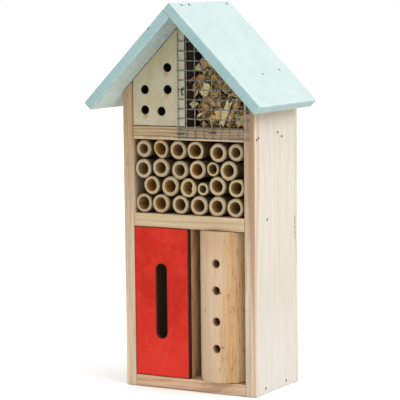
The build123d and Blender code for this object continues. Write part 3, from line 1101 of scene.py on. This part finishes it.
def log_wood():
    """Peeled, sanded branch wood: cream and orange-tan, with dark flecks along the grain. Painted
    shade darkens its top under the shelf and the walls of its holes, and a painted shadow line runs
    along its base on the right.
    """
    material, tree, shader = blank_finish("log_wood", roughness=0.66, specular=0.2)
    place = place_on(tree, (-log_x, -log_y, 0))
    x, y, z = parts_of(place)
    rings, fibres, _, height = grain_of(place, 2.6, 5.0)
    sway = mottle(place, (0.06, 0.06, 0.022), detail=2.0)
    heart = step_up(x + (sway - 0.5) * 11.0 + z * -0.02, 0.6, 8.0)
    colour = stain((197, 171, 141), (184, 149, 109), heart)
    # Painted shade: darker towards the top, under the shelf.
    colour = stain(colour, (168, 138, 104), step_up(z, 84.0, 108.0) * 0.45)
    colour = shaded(colour, (fibres - 0.5) * 0.9 + 1.0)
    flames = mottle(place, (0.5, 0.5, 0.03), detail=3.0, roughness=0.6)
    colour = stain(colour, (168, 120, 76), step_up(flames, 0.48, 0.66) * (heart * 0.6 + 0.08))
    dashes = mottle(place, (1.0, 1.0, 0.15), detail=3.0, roughness=0.7)
    colour = stain(colour, (122, 76, 44), step_up(dashes, 0.56, 0.7) * (heart * 0.65 + 0.14))
    ends = step_up(abs(normal_on(tree)[2]), 0.6, 0.9)
    colour = stain(colour, (150, 112, 74), ends * rings * 0.8)
    # Painted shade: the walls of the drilled holes darken deeper in.
    deep = step_up(y, -log_radius + 0.6, -log_radius + 7.0)
    inside = step_up(abs(x), 3.6, 2.9) * deep
    inside = inside * step_up(hypotenuse(x, y), log_radius - 0.2, log_radius - 0.9)
    colour = stain(colour, (128, 92, 58), inside * 0.85)
    # Painted shadow: a dark line along the base on the right, where the log meets the bottom board.
    contact_shade = z - float(log_low[2]) + (mottle(place, 0.5, detail=3.0) - 0.5) * 2.4
    colour = stain(colour, (60, 38, 24), step_up(contact_shade, 0.7, 0.2) * step_up(x, 0.0, 6.0) * 0.85)
    knots = [
        ((4.6, 32.1), 1.5, 0.45), ((3.4, 68.6), 0.7, 0.9), ((2.6, 17.0), 0.2, 2.6),
        ((-9.5, 56.0), 0.45, 1.6),
    ]
    in_front = step_up(y, -8.0, -12.0)
    for middle, wide, tall in knots:
        near = spot(x, z, middle, wide, tall)
        colour = stain(colour, (88, 60, 38), step_up(near, 1.3, 0.5) * in_front * 0.8)
    coat(shader, colour)
    relief(shader, height, 0.12)
    return material


points, faces = log_shell()
piece("log_drilled", points, faces, log_wood(), "log_wood", ["log_block"])


# ---------------------------------------------------------------------------------------------
# The bamboo tubes: lengths of thin cane sawn off square. No two are alike, so each has its own
# swelling and flats, its own wall, and a bore stained brown, orange or olive inside.

# Bulges of a tube's outside and of its bore, by the tube's number, each given as its place in
# degrees from the right, its height as a share of the radius, and its half width in degrees.
odd_outsides = {
    2: [(100, -0.04, 40)],
    7: [(75, 0.05, 34), (215, -0.05, 40)],
    9: [(30, -0.05, 36), (225, 0.05, 30)],
    12: [(52, 0.2, 17), (95, -0.05, 26), (170, -0.03, 60)],
    17: [(120, 0.06, 40), (250, 0.06, 40)],
    18: [(260, 0.03, 50)],
    20: [(120, 0.06, 50), (288, 0.12, 24), (215, -0.14, 34), (350, -0.03, 40)],
    22: [(268, -0.13, 26), (228, 0.08, 20), (312, 0.1, 22), (180, 0.03, 40)],
}
odd_bores = {
    7: [(85, 0.14, 34)],
    9: [(350, -0.3, 30), (70, 0.14, 34), (285, 0.14, 34)],
    12: [(40, 0.16, 36)],
    17: [(100, 0.08, 50)],
    20: [(130, 0.16, 50), (290, 0.12, 34)],
    22: [(200, 0.14, 50), (350, 0.1, 50)],
}
thin_walls = {1: 1.9, 7: 2.0, 10: 1.6, 12: 2.0, 17: 1.4, 20: 1.9, 22: 2.0}
# The stain of a bore: 0 is brown, 1 orange, 2 olive and 3 grey-brown.
bore_stains = {2: 0.7, 7: 0.8, 8: 0.9, 9: 1.5, 10: 3.0, 12: 1.9, 16: 1.0, 17: 3.0, 20: 0.8, 22: 1.6}
yellow_rims = {7: 0.5, 9: 0.9, 10: 0.6, 12: 1.0, 17: 1.0, 20: 0.4, 22: 0.5}


def girth(turn, bulges, draw, unevenness):
    """Radius round a tube as a share of its mean: three slow waves, and a bell for each bulge."""
    share = np.ones_like(turn)
    for beats in (2, 3, 5):
        share += draw.normal(0, unevenness / beats) * np.cos(beats * turn + draw.uniform(0, 6.28))
    for degrees, amount, wide in bulges:
        gap = np.angle(np.exp(1j * (turn - math.radians(degrees))))
        share += amount * np.exp(-((gap / math.radians(wide)) ** 2))
    return share


def cane(number):
    """One tube: a closed profile of skin, sawn end, bore and far end, carried round its axis."""
    node = f"bamboo_tube_{number:02d}"
    low, high = node_box(node)
    draw = np.random.default_rng(400 + number)
    radius = (high[0] - low[0]) / 2
    x, z = (low[0] + high[0]) / 2, (low[2] + high[2]) / 2
    wall = thin_walls.get(number, 2.3 + draw.uniform(-0.2, 0.2))
    columns = 56
    turn = np.linspace(0, 2 * math.pi, columns, endpoint=False)
    fullest = 1.18
    outside = radius * np.minimum(girth(turn, odd_outsides.get(number, []), draw, 0.03), fullest)
    bore = (radius - wall) * girth(turn, odd_bores.get(number, []), draw, 0.035)
    front, back = low[1], high[1]
    ring_y = draw.uniform(front + 18, back - 10)
    rows, marks = [], []
    for depth in np.linspace(back - 0.3, front + 2.2, 13):
        swell = 0.25 * math.exp(-(((depth - ring_y) / 1.2) ** 2))
        rows.append((outside + swell - 0.15, depth))
        marks.append((0.0, 0.0))
    saw = 0.07 * waves(turn * 9.0, 0.0, 500 + number, count=7)
    wall_now = outside - bore
    for angle in np.radians([0, 18, 36, 54, 72, 90]):
        inset, ahead = 0.36 * wall_now * (1 - math.cos(angle)), math.sin(angle)
        rows.append((outside - 0.05 - inset, front + 1.4 * (1 - ahead) + saw * ahead))
        marks.append((0.1 + 0.4 * ahead, 0.0))
    sawn = ((0.55, 0.0, 0.62), (0.8, 0.0, 0.8), (0.93, 0.03, 1.0), (0.985, 0.14, 1.0))
    for share, lift, cut in sawn:
        rows.append((outside - 0.05 - share * wall_now, front + lift + saw))
        marks.append((cut, 0.0))
    for depth in (*(front + into for into in (0.35, 0.9, 2.5, 6, 14, 30)), back - 0.3):
        taper = 0.97 + 0.03 * math.exp(-(depth - front) / 3.0)
        rows.append((bore * taper, depth + 0 * turn))
        marks.append((0.3, 1.0))
    for share in (0.1, 0.9):
        rows.append((bore + share * wall_now, back + 0 * turn))
        marks.append((0.7, 0.0))
    rows.append(rows[0])
    marks.append(marks[0])
    lean = draw.uniform(-0.2, 0.2, 2)
    radii = np.stack([row for row, _ in rows])
    depth = np.stack([np.broadcast_to(deep, turn.shape) for _, deep in rows])
    far = (depth - front) / (back - front)
    squash = 0.985  # of its width, for a tube that is a little taller than it is wide
    across = x + lean[0] * far + squash * radii * np.cos(turn)
    points = np.stack([across, depth, z + lean[1] * far + radii * np.sin(turn)], axis=-1)
    cut, bored = (np.repeat([mark[i] for mark in marks], columns) for i in (0, 1))
    whole = np.ones_like(cut)
    plain_stain = 0.15 + 0.1 * (number % 3)
    piece(
        f"bamboo_cane_{number:02d}", points.reshape(-1, 3), lattice(len(rows), columns),
        bamboo, "bamboo", [node], cut=cut, bore=bored,
        stain=whole * bore_stains.get(number, plain_stain),
        yellow=whole * yellow_rims.get(number, 0.0), tint=whole * draw.uniform(0, 1),
    )


def bamboo_finish():
    """Bamboo: cream sawn ends dotted with darker bundles, a tan skin darkened partly as painted
    shade for the gaps between tubes, and a stained bore.
    """
    material, tree, shader = blank_finish("bamboo_cane", roughness=0.5, specular=0.3)
    place = place_on(tree)
    cut, bore, stained, yellow, tint = (
        mark_on(tree, name) for name in ("cut", "bore", "stain", "yellow", "tint")
    )
    fibres = mottle(place, (1.6, 0.05, 1.6), detail=4.0, roughness=0.6)
    blotch = mottle(place, (0.12, 0.05, 0.12), detail=3.0)
    # The skin's dark olive-brown is partly its own colour and partly painted shade for the gaps
    # between the tubes.
    skin = stain((112, 94, 62), (88, 70, 44), step_up(fibres, 0.4, 0.7))
    skin = stain(skin, (88, 80, 50), step_up(blotch, 0.5, 0.7) * 0.5)
    dots = mottle(place, (2.2, 0.4, 2.2), detail=3.0, roughness=0.7)
    rind = stain((146, 132, 104), (132, 114, 84), tint)
    pith = stain((176, 159, 130), (162, 142, 112), tint)
    end = stain(rind, pith, step_up(cut, 0.3, 0.66))
    end = stain(end, (204, 185, 150), step_up(cut, 0.82, 0.96))
    end = stain(end, (140, 112, 76), step_up(dots, 0.54, 0.7) * 0.45)
    end = stain(end, (184, 162, 108), yellow * 0.4)
    warm = stain((156, 127, 84), (172, 130, 72), step_up(stained, 0.0, 1.0))
    warm = stain(warm, (154, 132, 78), step_up(stained, 1.0, 2.0))
    warm = stain(warm, (126, 114, 84), step_up(stained, 2.2, 3.0))
    warm = shaded(warm, (fibres - 0.5) * 0.8 + 1.0)
    colour = stain(skin, end, step_up(cut, 0.04, 0.3))
    colour = stain(colour, warm, step_up(bore, 0.2, 0.8))
    coat(shader, colour, roughness=cut * 0.2 + 0.5)
    relief(shader, dots * cut + fibres * 0.5, 0.12)
    return material


bamboo = bamboo_finish()
tube_count = len([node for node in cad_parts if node.startswith("bamboo_tube_")])
for number in range(1, tube_count + 1):
    cane(number)


# ---------------------------------------------------------------------------------------------
# The shavings: softwood planer shavings pushed loosely into the right half of the attic. Each is
# a thin ribbon that rolls up as it comes off the plane, with torn ends and one browner side.

shavings_left = -1.0  # the furthest left that a shaving sticks out of the heap
attic_z = float(node_box("upper_shelf")[1][2])
heap_top = 222.5

# Shavings that lie in plain view, each given as the two ends of the curl's axis, its radius, the
# radians that it goes round, its turn about the axis, and its tint.
laid_curls = [
    ((23.6, 3.2, 179.6), (29.6, 3.2, 194.8), 1.9, 4.4, 2.2, 0.10),
    ((30.0, 3.0, 182.0), (35.8, 3.0, 194.6), 1.1, 4.6, 1.0, 0.30),
    ((5.0, 2.6, 215.0), (7.6, 5.0, 218.4), 3.0, 1.9, 3.6, 0.05),
    ((8.4, 5.0, 217.6), (12.4, 7.0, 222.0), 3.6, 2.0, 3.2, 0.62),
    ((25.6, 2.6, 201.0), (27.6, 6.0, 204.4), 2.9, 4.4, 0.4, 0.30),
    ((10.0, 3.0, 199.4), (13.6, 3.4, 206.6), 2.7, 3.2, 3.0, 0.08),
    ((1.6, 2.6, 190.4), (4.6, 4.2, 193.6), 2.2, 3.6, 2.0, 0.12),
    ((19.6, 2.6, 185.6), (25.0, 3.4, 188.2), 3.0, 2.8, 3.4, 0.28),
    ((15.2, 3.6, 180.6), (19.4, 3.0, 183.8), 2.6, 3.0, 2.6, 0.55),
]


def square_frame(ahead, twist):
    """Two directions square to each axis and to each other, turned about it by a twist."""
    helper = np.where(abs(ahead[:, 2:]) > 0.8, [1.0, 0.0, 0.0], [0.0, 0.0, 1.0])
    side = np.cross(ahead, helper)
    side /= np.linalg.norm(side, axis=1, keepdims=True)
    other = np.cross(ahead, side)
    cos, sin = np.cos(twist)[:, None], np.sin(twist)[:, None]
    return cos * side + sin * other, cos * other - sin * side


def curls(centre, ahead, width, radius, sweep, twist, draw):
    """Ribbons rolled about their own axes, all at once.

    Round a ribbon the radius grows a little, so it is a loose spiral; it also drifts along the
    axis, and its edges are torn. Across the axis a ribbon is a flat lens a third of a millimetre
    thick, cupped by the square of the distance from its middle and ruffled in step along it.
    """
    count, stations, ring = len(centre), 13, 6
    along = np.linspace(0, 1, stations)
    side, other = square_frame(ahead, twist)
    angle = sweep[:, None] * (along - 0.5)
    growth = 1 + draw.uniform(-0.05, 0.4, count)[:, None] * (along - 0.5)
    reach = radius[:, None] * growth
    radial = np.cos(angle)[..., None] * side[:, None] + np.sin(angle)[..., None] * other[:, None]
    line = reach[..., None] * radial
    line -= line.mean(axis=1, keepdims=True)
    drift = draw.uniform(-0.25, 0.25, count)[:, None] * (along - 0.5) * width[:, None]
    end_share = draw.uniform(0.25, 1.0, (count, 1))
    past = np.clip(abs(along - draw.choice([0.0, 1.0], (count, 1))) * 1.6 - 0.6, 0, 1)
    nibbles = along * draw.uniform(8, 24, (count, 1)) + draw.uniform(0, 6, (count, 1))
    torn = (1 - (1 - end_share) * past) * (1 + 0.12 * np.sin(nibbles))
    breadth = width[:, None] * torn / 2
    turn = np.linspace(0, 2 * math.pi, ring, endpoint=False)
    across = drift[..., None] + breadth[..., None] * np.cos(turn)
    ripple = np.sin(along * draw.uniform(6, 15, (count, 1)) + draw.uniform(0, 6, (count, 1)))
    ruffle = draw.uniform(0.05, 0.5, (count, 1)) * ripple
    cup = draw.uniform(-0.5, 0.5, (count, 1)) * (1 + 0.5 * ripple)
    edge = np.cos(turn)
    lift = 0.15 * np.sin(turn) + ruffle[..., None] * edge + cup[..., None] * edge**2
    shape = centre[:, None, None] + line[:, :, None] + across[..., None] * ahead[:, None, None]
    return shape + lift[..., None] * radial[:, :, None]


def clear_of_laid(x, z):
    """Whether a place is further from the axis of every laid curl than the curl's radius."""
    clear = np.ones(len(x), bool)
    for (start_x, _, start_z), (end_x, _, end_z), radius, *_ in laid_curls:
        run_x, run_z = end_x - start_x, end_z - start_z
        share = ((x - start_x) * run_x + (z - start_z) * run_z) / (run_x**2 + run_z**2)
        share = np.clip(share, 0, 1)
        clear &= np.hypot(x - start_x - share * run_x, z - start_z - share * run_z) > radius + 2.4
    return clear


def loose_places(draw):
    """Places through the heap in five layers, each a jittered grid that widens with depth."""
    places = []
    for depth, spacing in ((4.0, 4.4), (7.0, 4.2), (10.5, 4.4), (16.0, 6.0), (24.0, 8.0)):
        x, z = np.meshgrid(np.arange(2.0, inner, spacing), np.arange(attic_z + 2.0, 250.0, spacing))
        x, z = x.ravel(), z.ravel()
        x, z = (axis + draw.uniform(-0.42, 0.42, len(x)) * spacing for axis in (x, z))
        places.append(np.stack([x, front_y + depth + draw.uniform(-1.8, 1.8, len(x)), z], axis=-1))
    places = np.concatenate(places)
    x, _, z = places.T
    left = 2.4 + np.clip((z - 204.0) * 0.2, 0, 4) + np.clip((189.0 - z) * 0.6, 0, 6)
    inside = (x > left) & (x < inner - 1.5) & (z < heap_top - 3.5) & (x + z < under_ridge - 3.5)
    inside &= (places[:, 1] > front_y + 8.0) | clear_of_laid(x, z)
    return places[inside]


def shaving_heap(seed):
    """All the shavings: the loose ones, then the listed laid ones, kept inside the attic."""
    draw = np.random.default_rng(seed)
    centre = loose_places(draw)
    count = len(centre)
    ahead = draw.normal(size=(count, 3)) * 0.6
    ahead = ahead + draw.choice([-0.7, 0.7], (count, 1)) * [-0.5, 0.85, 0.1]
    ahead /= np.linalg.norm(ahead, axis=1, keepdims=True)
    radius = draw.uniform(1.5, 4.0, count)
    narrow = draw.random(count) < 0.42
    sweep = np.where(narrow, draw.uniform(3.4, 6.6, count), draw.uniform(1.8, 4.4, count))
    sweep = sweep * draw.choice([-1, 1], count)
    width = np.where(narrow, draw.uniform(1.1, 2.2, count), draw.uniform(2.8, 5.6, count))
    twist = draw.uniform(0, 2 * math.pi, count)
    loose = curls(centre, ahead, width, radius, sweep, twist, draw)
    starts, ends = (np.array([curl[i] for curl in laid_curls]) + [0, front_y, 0] for i in (0, 1))
    run = ends - starts
    length = np.linalg.norm(run, axis=1)
    laid = curls(
        (starts + ends) / 2, run / length[:, None], length,
        *(np.array([curl[i] for curl in laid_curls]) for i in (2, 3, 4)), draw,
    )
    shape = np.concatenate([loose, laid])
    tints = np.concatenate([draw.uniform(0, 1, count), [curl[5] for curl in laid_curls]])
    low, high = shape.min(axis=(1, 2)), shape.max(axis=(1, 2))
    shift = np.zeros((len(shape), 3))
    shift[:, 0] = np.maximum(shavings_left - low[:, 0], 0)
    shift[:, 0] -= np.maximum(high[:, 0] - (inner - 0.3), 0)
    shift[:, 1] = np.maximum(front_y + 0.9 - low[:, 1], 0)
    shift[:, 2] = np.maximum(attic_z + 0.15 - low[:, 2], 0)
    shape = shape + shift[:, None, None]
    over = (shape[..., 2] + np.abs(shape[..., 0])).max(axis=(1, 2)) - (under_ridge - 0.4)
    shape[..., 2] -= np.maximum(over, 0)[:, None, None]
    fits = shape[..., 2].min(axis=(1, 2)) > attic_z
    return shape[fits], tints[fits]


def shaving_finish():
    """Thin softwood: cream to tan ribbons with grain round them, one browner side, and painted
    highlights along their edges.
    """
    material, tree, shader = blank_finish("shaving_wood", roughness=0.6, specular=0.25)
    tint, along, across, face = (
        mark_on(tree, name) for name in ("tint", "along", "across", "face")
    )
    line = add_node(tree, "ShaderNodeCombineXYZ", along, across, tint)
    grain = mottle(line, (1.2, 5.0, 60.0), detail=3.0, roughness=0.6)
    colour = stain((208, 192, 146), (212, 182, 116), step_up(tint, 0.0, 0.3))
    colour = stain(colour, (196, 156, 90), step_up(tint, 0.35, 0.8))
    colour = stain(colour, (148, 94, 56), step_up(tint, 0.86, 0.97))
    colour = stain(colour, (150, 104, 54), step_up(face, 0.1, 0.6) * step_up(tint, 0.12, 0.3) * 0.6)
    colour = shaded(colour, (grain - 0.5) * 1.1 + 1.0)
    # Painted highlight: the ribbons' long edges are lightened as if they caught the light.
    rim = step_up(abs(across), 0.68, 0.95)
    colour = stain(colour, (238, 218, 166), rim * 0.8)
    coat(shader, colour)
    relief(shader, grain, 0.12)
    return material


def together(shapes):
    """Several (points, faces) shapes as one."""
    points, faces, start = [], [], 0
    for more, loops in shapes:
        points.append(more)
        faces += [[corner + start for corner in loop] for loop in loops]
        start += len(more)
    return np.concatenate(points), faces


heap, tints = shaving_heap(seed=77)
shavings, stations, ring = heap.shape[:3]
points, faces = together([shell_of(shape, order=-1) for shape in heap])
turn = np.linspace(0, 2 * math.pi, ring, endpoint=False)
piece(
    "curled_shavings", points, faces, shaving_finish(), "shavings", ["wood_shavings"], sharp=60.0,
    tint=np.repeat(tints, stations * ring),
    along=np.tile(np.repeat(np.linspace(0, 1, stations), ring), shavings),
    across=np.tile(np.cos(turn), shavings * stations),
    face=np.tile(np.sin(turn), shavings * stations),
)


# ---------------------------------------------------------------------------------------------
# The mesh: welded galvanised wire, its upright wires in front of the crosswires, cut off along
# the roof with a small stub left past the last weld.

mesh_low, mesh_high = node_box("wire_mesh")
wire_radius = 0.36
wire_pitch = 6.38
left_stub = 1.0
wire_x = mesh_low[0] + left_stub
upright_count = 9
crosswire_y = mesh_high[1] - wire_radius
upright_y = mesh_low[1] + wire_radius
roof_clearance = 1.5
low_stub = 0.6
crosswire_z = mesh_low[2] + low_stub
crosswire_count = 11


def wire(start, end, seed):
    """A round wire from one point to another, bowed a little out of line, with closed ends.

    The circle is carried along the line; each of its points is the line's point, plus the
    radius times the cosine and sine of its turn along two directions square to the line.
    """
    start, end = np.array(start, float), np.array(end, float)
    length = np.linalg.norm(end - start)
    stations, sides = max(int(length / 2.2), 4), 8
    along = np.linspace(0, 1, stations)
    line = start + along[:, None] * (end - start)
    upright = abs(end[2] - start[2]) > abs(end[0] - start[0])
    level = np.array([1.0, 0.0, 0.0] if upright else [0.0, 0.0, 1.0])
    inward = np.array([0.0, 1.0, 0.0])
    line += 0.16 * waves(along * length, 0.0, seed)[:, None] * level
    turn = np.linspace(0, 2 * math.pi, sides, endpoint=False)
    nipped = np.clip(np.minimum(along, 1 - along) * length * 4, 0.75, 1)
    radius = wire_radius * nipped[:, None, None]
    ring = np.cos(turn)[:, None] * level + np.sin(turn)[:, None] * inward
    return shell_of(line[:, None] + radius * ring)


def dull_zinc(name, pale, dark, roughness, metallic=0.75):
    """Zinc on steel wire or plate, dulled in patches."""
    material, tree, shader = blank_finish(name, roughness=roughness, specular=0.5)
    place = place_on(tree)
    patches = mottle(place, 0.5, detail=4.0, roughness=0.6)
    colour = stain(pale, dark, step_up(patches, 0.4, 0.66))
    coat(shader, colour, roughness=patches * 0.3 + (roughness - 0.12))
    shader.inputs["Metallic"].default_value = metallic
    relief(shader, patches, 0.05)
    return material


wires = []
for i in range(upright_count):
    x = wire_x + i * wire_pitch
    top = under_roof(x) - roof_clearance
    wires.append(wire((x, upright_y, mesh_low[2]), (x, upright_y, top), 600 + i))
for i in range(crosswire_count):
    z = crosswire_z + i * wire_pitch
    right_end = min(mesh_high[0], under_ridge - z - roof_clearance)
    wires.append(wire((mesh_low[0], crosswire_y, z), (right_end, crosswire_y, z), 640 + i))
points, faces = together(wires)
mesh_zinc = dull_zinc("mesh_zinc", (134, 133, 125), (92, 91, 84), 0.6, metallic=0.3)
piece("welded_mesh", points, faces, mesh_zinc, "galvanised_wire", ["wire_mesh"])


# ---------------------------------------------------------------------------------------------
# The staples: flat-wire staples driven over the mesh into the ladybird front, the upper shelf
# and the right side, their crowns pressed against the wires.

staple_crown, staple_width, staple_wire = 5.2, 0.9, 0.6
staples = [(-2.9, 201.0, True), (-4.7, 172.9, False), (19.3, 174.2, False), (45.75, 189.6, True)]
staple_low, staple_high = node_box("mesh_staples")


def staple(x, z, upright, seed):
    """A flat wire carried round a U: its outline is a rounded rectangle, square to the path."""
    bend = 0.9
    span = staple_crown / 2 - staple_wire / 2
    near, far = staple_low[1] + staple_wire / 2, staple_high[1]
    corner = np.linspace(0, math.pi / 2, 5)
    left = [-span + bend - bend * np.cos(corner), near + bend - bend * np.sin(corner)]
    left = np.concatenate([[(-span, far), (-span, near + 2.2)], np.stack(left, axis=-1)])
    path = np.concatenate([left, left[::-1] * [-1, 1]])
    ahead = np.gradient(path, axis=0)
    ahead /= np.linalg.norm(ahead, axis=1, keepdims=True)
    beside = np.stack([-ahead[:, 1], ahead[:, 0]], axis=-1)
    turn = np.linspace(0, 2 * math.pi, 12, endpoint=False)
    flat, thick = (
        np.sign(wave) * np.abs(wave) ** 0.45 * size / 2
        for wave, size in ((np.cos(turn), staple_width), (np.sin(turn), staple_wire))
    )
    plane = path[:, None] + thick[None, :, None] * beside[:, None]
    wide = np.broadcast_to(flat, plane.shape[:2])
    tilt = 0.06 * math.sin(seed)
    crown, depth = plane[..., 0], plane[..., 1]
    side = wide + tilt * crown
    places = [x + side, depth, z + crown] if upright else [x + crown, depth, z + side]
    return shell_of(np.stack(places, axis=-1))


points, faces = together([staple(*spec, seed) for seed, spec in enumerate(staples, start=1)])
staple_zinc = dull_zinc("staple_zinc", (70, 69, 66), (44, 43, 42), 0.5, metallic=0.4)
piece("flat_staples", points, faces, staple_zinc, "staple_steel", ["mesh_staples"])


# ---------------------------------------------------------------------------------------------
# The nails: thin brads driven flush, dark from the gun and a little rusty, through the sides,
# the back and the roof.

brad_length = 20.0
right_nails = [(3.2, 170.1), (6.0, 171.2), (33.3, 173.1), (39.2, 170.0), (17.5, 116.5)]
right_nails += [(13.9, 3.9), (43.8, 3.7)]
left_nails = [(6.5, 172.6), (29.0, 171.0), (47.5, 173.4), (15.0, 113.2), (40.5, 115.6)]
left_nails += [(12.0, 4.3), (45.0, 3.8)]
back_nails = [(sign * (half - 4.0), z) for sign in (-1, 1) for z in (14.0, 68.0, 128.0, 190.0)]
back_nails += [(sign * 21.0, z) for sign in (-1, 1) for z in (4.0, 114.0, 173.0)]
ridge_nails, ridge_nail_inset = [-9.4, 0.9, 52.0], 2.9
low_nails = [(1, 47.2, 17.0), (1, 45.6, 44.3), (-1, 46.4, 14.0), (-1, 47.0, 46.0)]


def brad(head, into, length=brad_length):
    """A nail turned about its axis: a low domed head, a straight shank and a tapered point."""
    head, into = np.array(head, float), np.array(into, float)
    into /= np.linalg.norm(into)
    side = np.cross(into, [0.3, 0.5, 0.81])
    side /= np.linalg.norm(side)
    other = np.cross(into, side)
    dome = [(0.0, -0.05), (0.5, -0.03), (0.86, 0.04), (0.94, 0.2)]
    shank = [(0.6, 0.5), (0.55, length - 2), (0.05, length)]
    turn = np.linspace(0, 2 * math.pi, 14, endpoint=False)
    rows = []
    for radius, depth in dome + shank:
        ring = radius * (np.cos(turn)[:, None] * side * 1.15 + np.sin(turn)[:, None] * other)
        rows.append(head + depth * into + ring)
    return shell_of(np.stack(rows))


def dark_steel():
    """Gun-blued brad steel going rusty."""
    material, tree, shader = blank_finish("brad_steel", roughness=0.6, specular=0.4)
    rust = mottle(place_on(tree), 1.4, detail=4.0)
    colour = stain((48, 42, 38), (84, 56, 38), step_up(rust, 0.45, 0.65))
    coat(shader, colour)
    shader.inputs["Metallic"].default_value = 0.4
    return material


brad_steel = dark_steel()
rear_y = node_box("back_panel")[1][1]
ridge_nail_x = ridge_nail_inset / math.sqrt(2)
ridge_brads = [
    brad((ridge_nail_x, front_y + y, ridge_z - ridge_nail_x), (-1, 0, -1)) for y in ridge_nails
]
low_brads = [
    brad((sign * x, front_y + y, ridge_z - x), (-sign * 0.35, 0, -1)) for sign, x, y in low_nails
]
rows_of_nails = {
    "right_side_nails": [brad((half, front_y + y, z), (-1, 0, 0)) for y, z in right_nails],
    "left_side_nails": [brad((-half, front_y + y, z), (1, 0, 0)) for y, z in left_nails],
    "back_panel_nails": [brad((x, rear_y, z), (0, -1, 0), length=15.0) for x, z in back_nails],
    "roof_nails": ridge_brads + low_brads,
}
for node, brads in rows_of_nails.items():
    points, faces = together(brads)
    piece(f"{node}_brads", points, faces, brad_steel, "nail_steel", [node])


# ---------------------------------------------------------------------------------------------
# The hanger: a zinc-plated steel strip with a keyhole, pressed out in the middle, on two
# pan-head screws with cross recesses.

bright_zinc = dull_zinc("hanger_zinc", (186, 187, 184), (170, 171, 167), 0.34, metallic=0.9)
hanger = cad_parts["hanger"]
hanger.data.materials.clear()
hanger.data.materials.append(bright_zinc)
weld = hanger.modifiers.new("weld", "WELD")
weld.merge_threshold = 1e-6
rounding = hanger.modifiers.new("rounding", "BEVEL")
rounding.width = 0.15 * mm
rounding.segments = 2
rounding.limit_method = "ANGLE"
rounding.angle_limit = math.radians(35)


screw_radius, head_height, recess = 2.5, 1.2, 0.75


def pan_head(x, z, seat_y):
    """A screw: a domed head whose middle is pressed in by a cross, and a plain shank."""
    turn = np.linspace(0, 2 * math.pi, 64, endpoint=False)
    spin = turn + x
    rows = []
    for share in np.linspace(0.0, 1.0, 14):
        reach = screw_radius * share
        dome = head_height * math.sqrt(max(1 - (share * 0.86) ** 4, 0))
        slot = np.minimum(abs(reach * np.cos(spin)), abs(reach * np.sin(spin)))
        cross = np.clip((0.42 - slot) / 0.16, 0, 1) * np.clip((1.5 - reach) / 0.3, 0, 1)
        rows.append((reach, seat_y + dome - recess * cross))
    for reach, drop in ((screw_radius, 0.0), (1.25, 0.0), (1.2, 4.6), (0.2, 6.0)):
        rows.append((reach, np.full(len(turn), seat_y - drop)))
    reach = np.array([reach for reach, _ in rows])[:, None]
    depth = np.stack([depth for _, depth in rows])
    return shell_of(np.stack([x + reach * np.cos(turn), depth, z + reach * np.sin(turn)], axis=-1))


screw_low, screw_high = node_box("hanger_screws")
screw_z = (screw_low[2] + screw_high[2]) / 2
seat_y = screw_high[1] - head_height
screw_places = (screw_low[0] + screw_radius, screw_high[0] - screw_radius)
points, faces = together([pan_head(x, screw_z, seat_y) for x in screw_places])
piece("hanger_pan_screws", points, faces, bright_zinc, "hanger_steel", ["hanger_screws"])
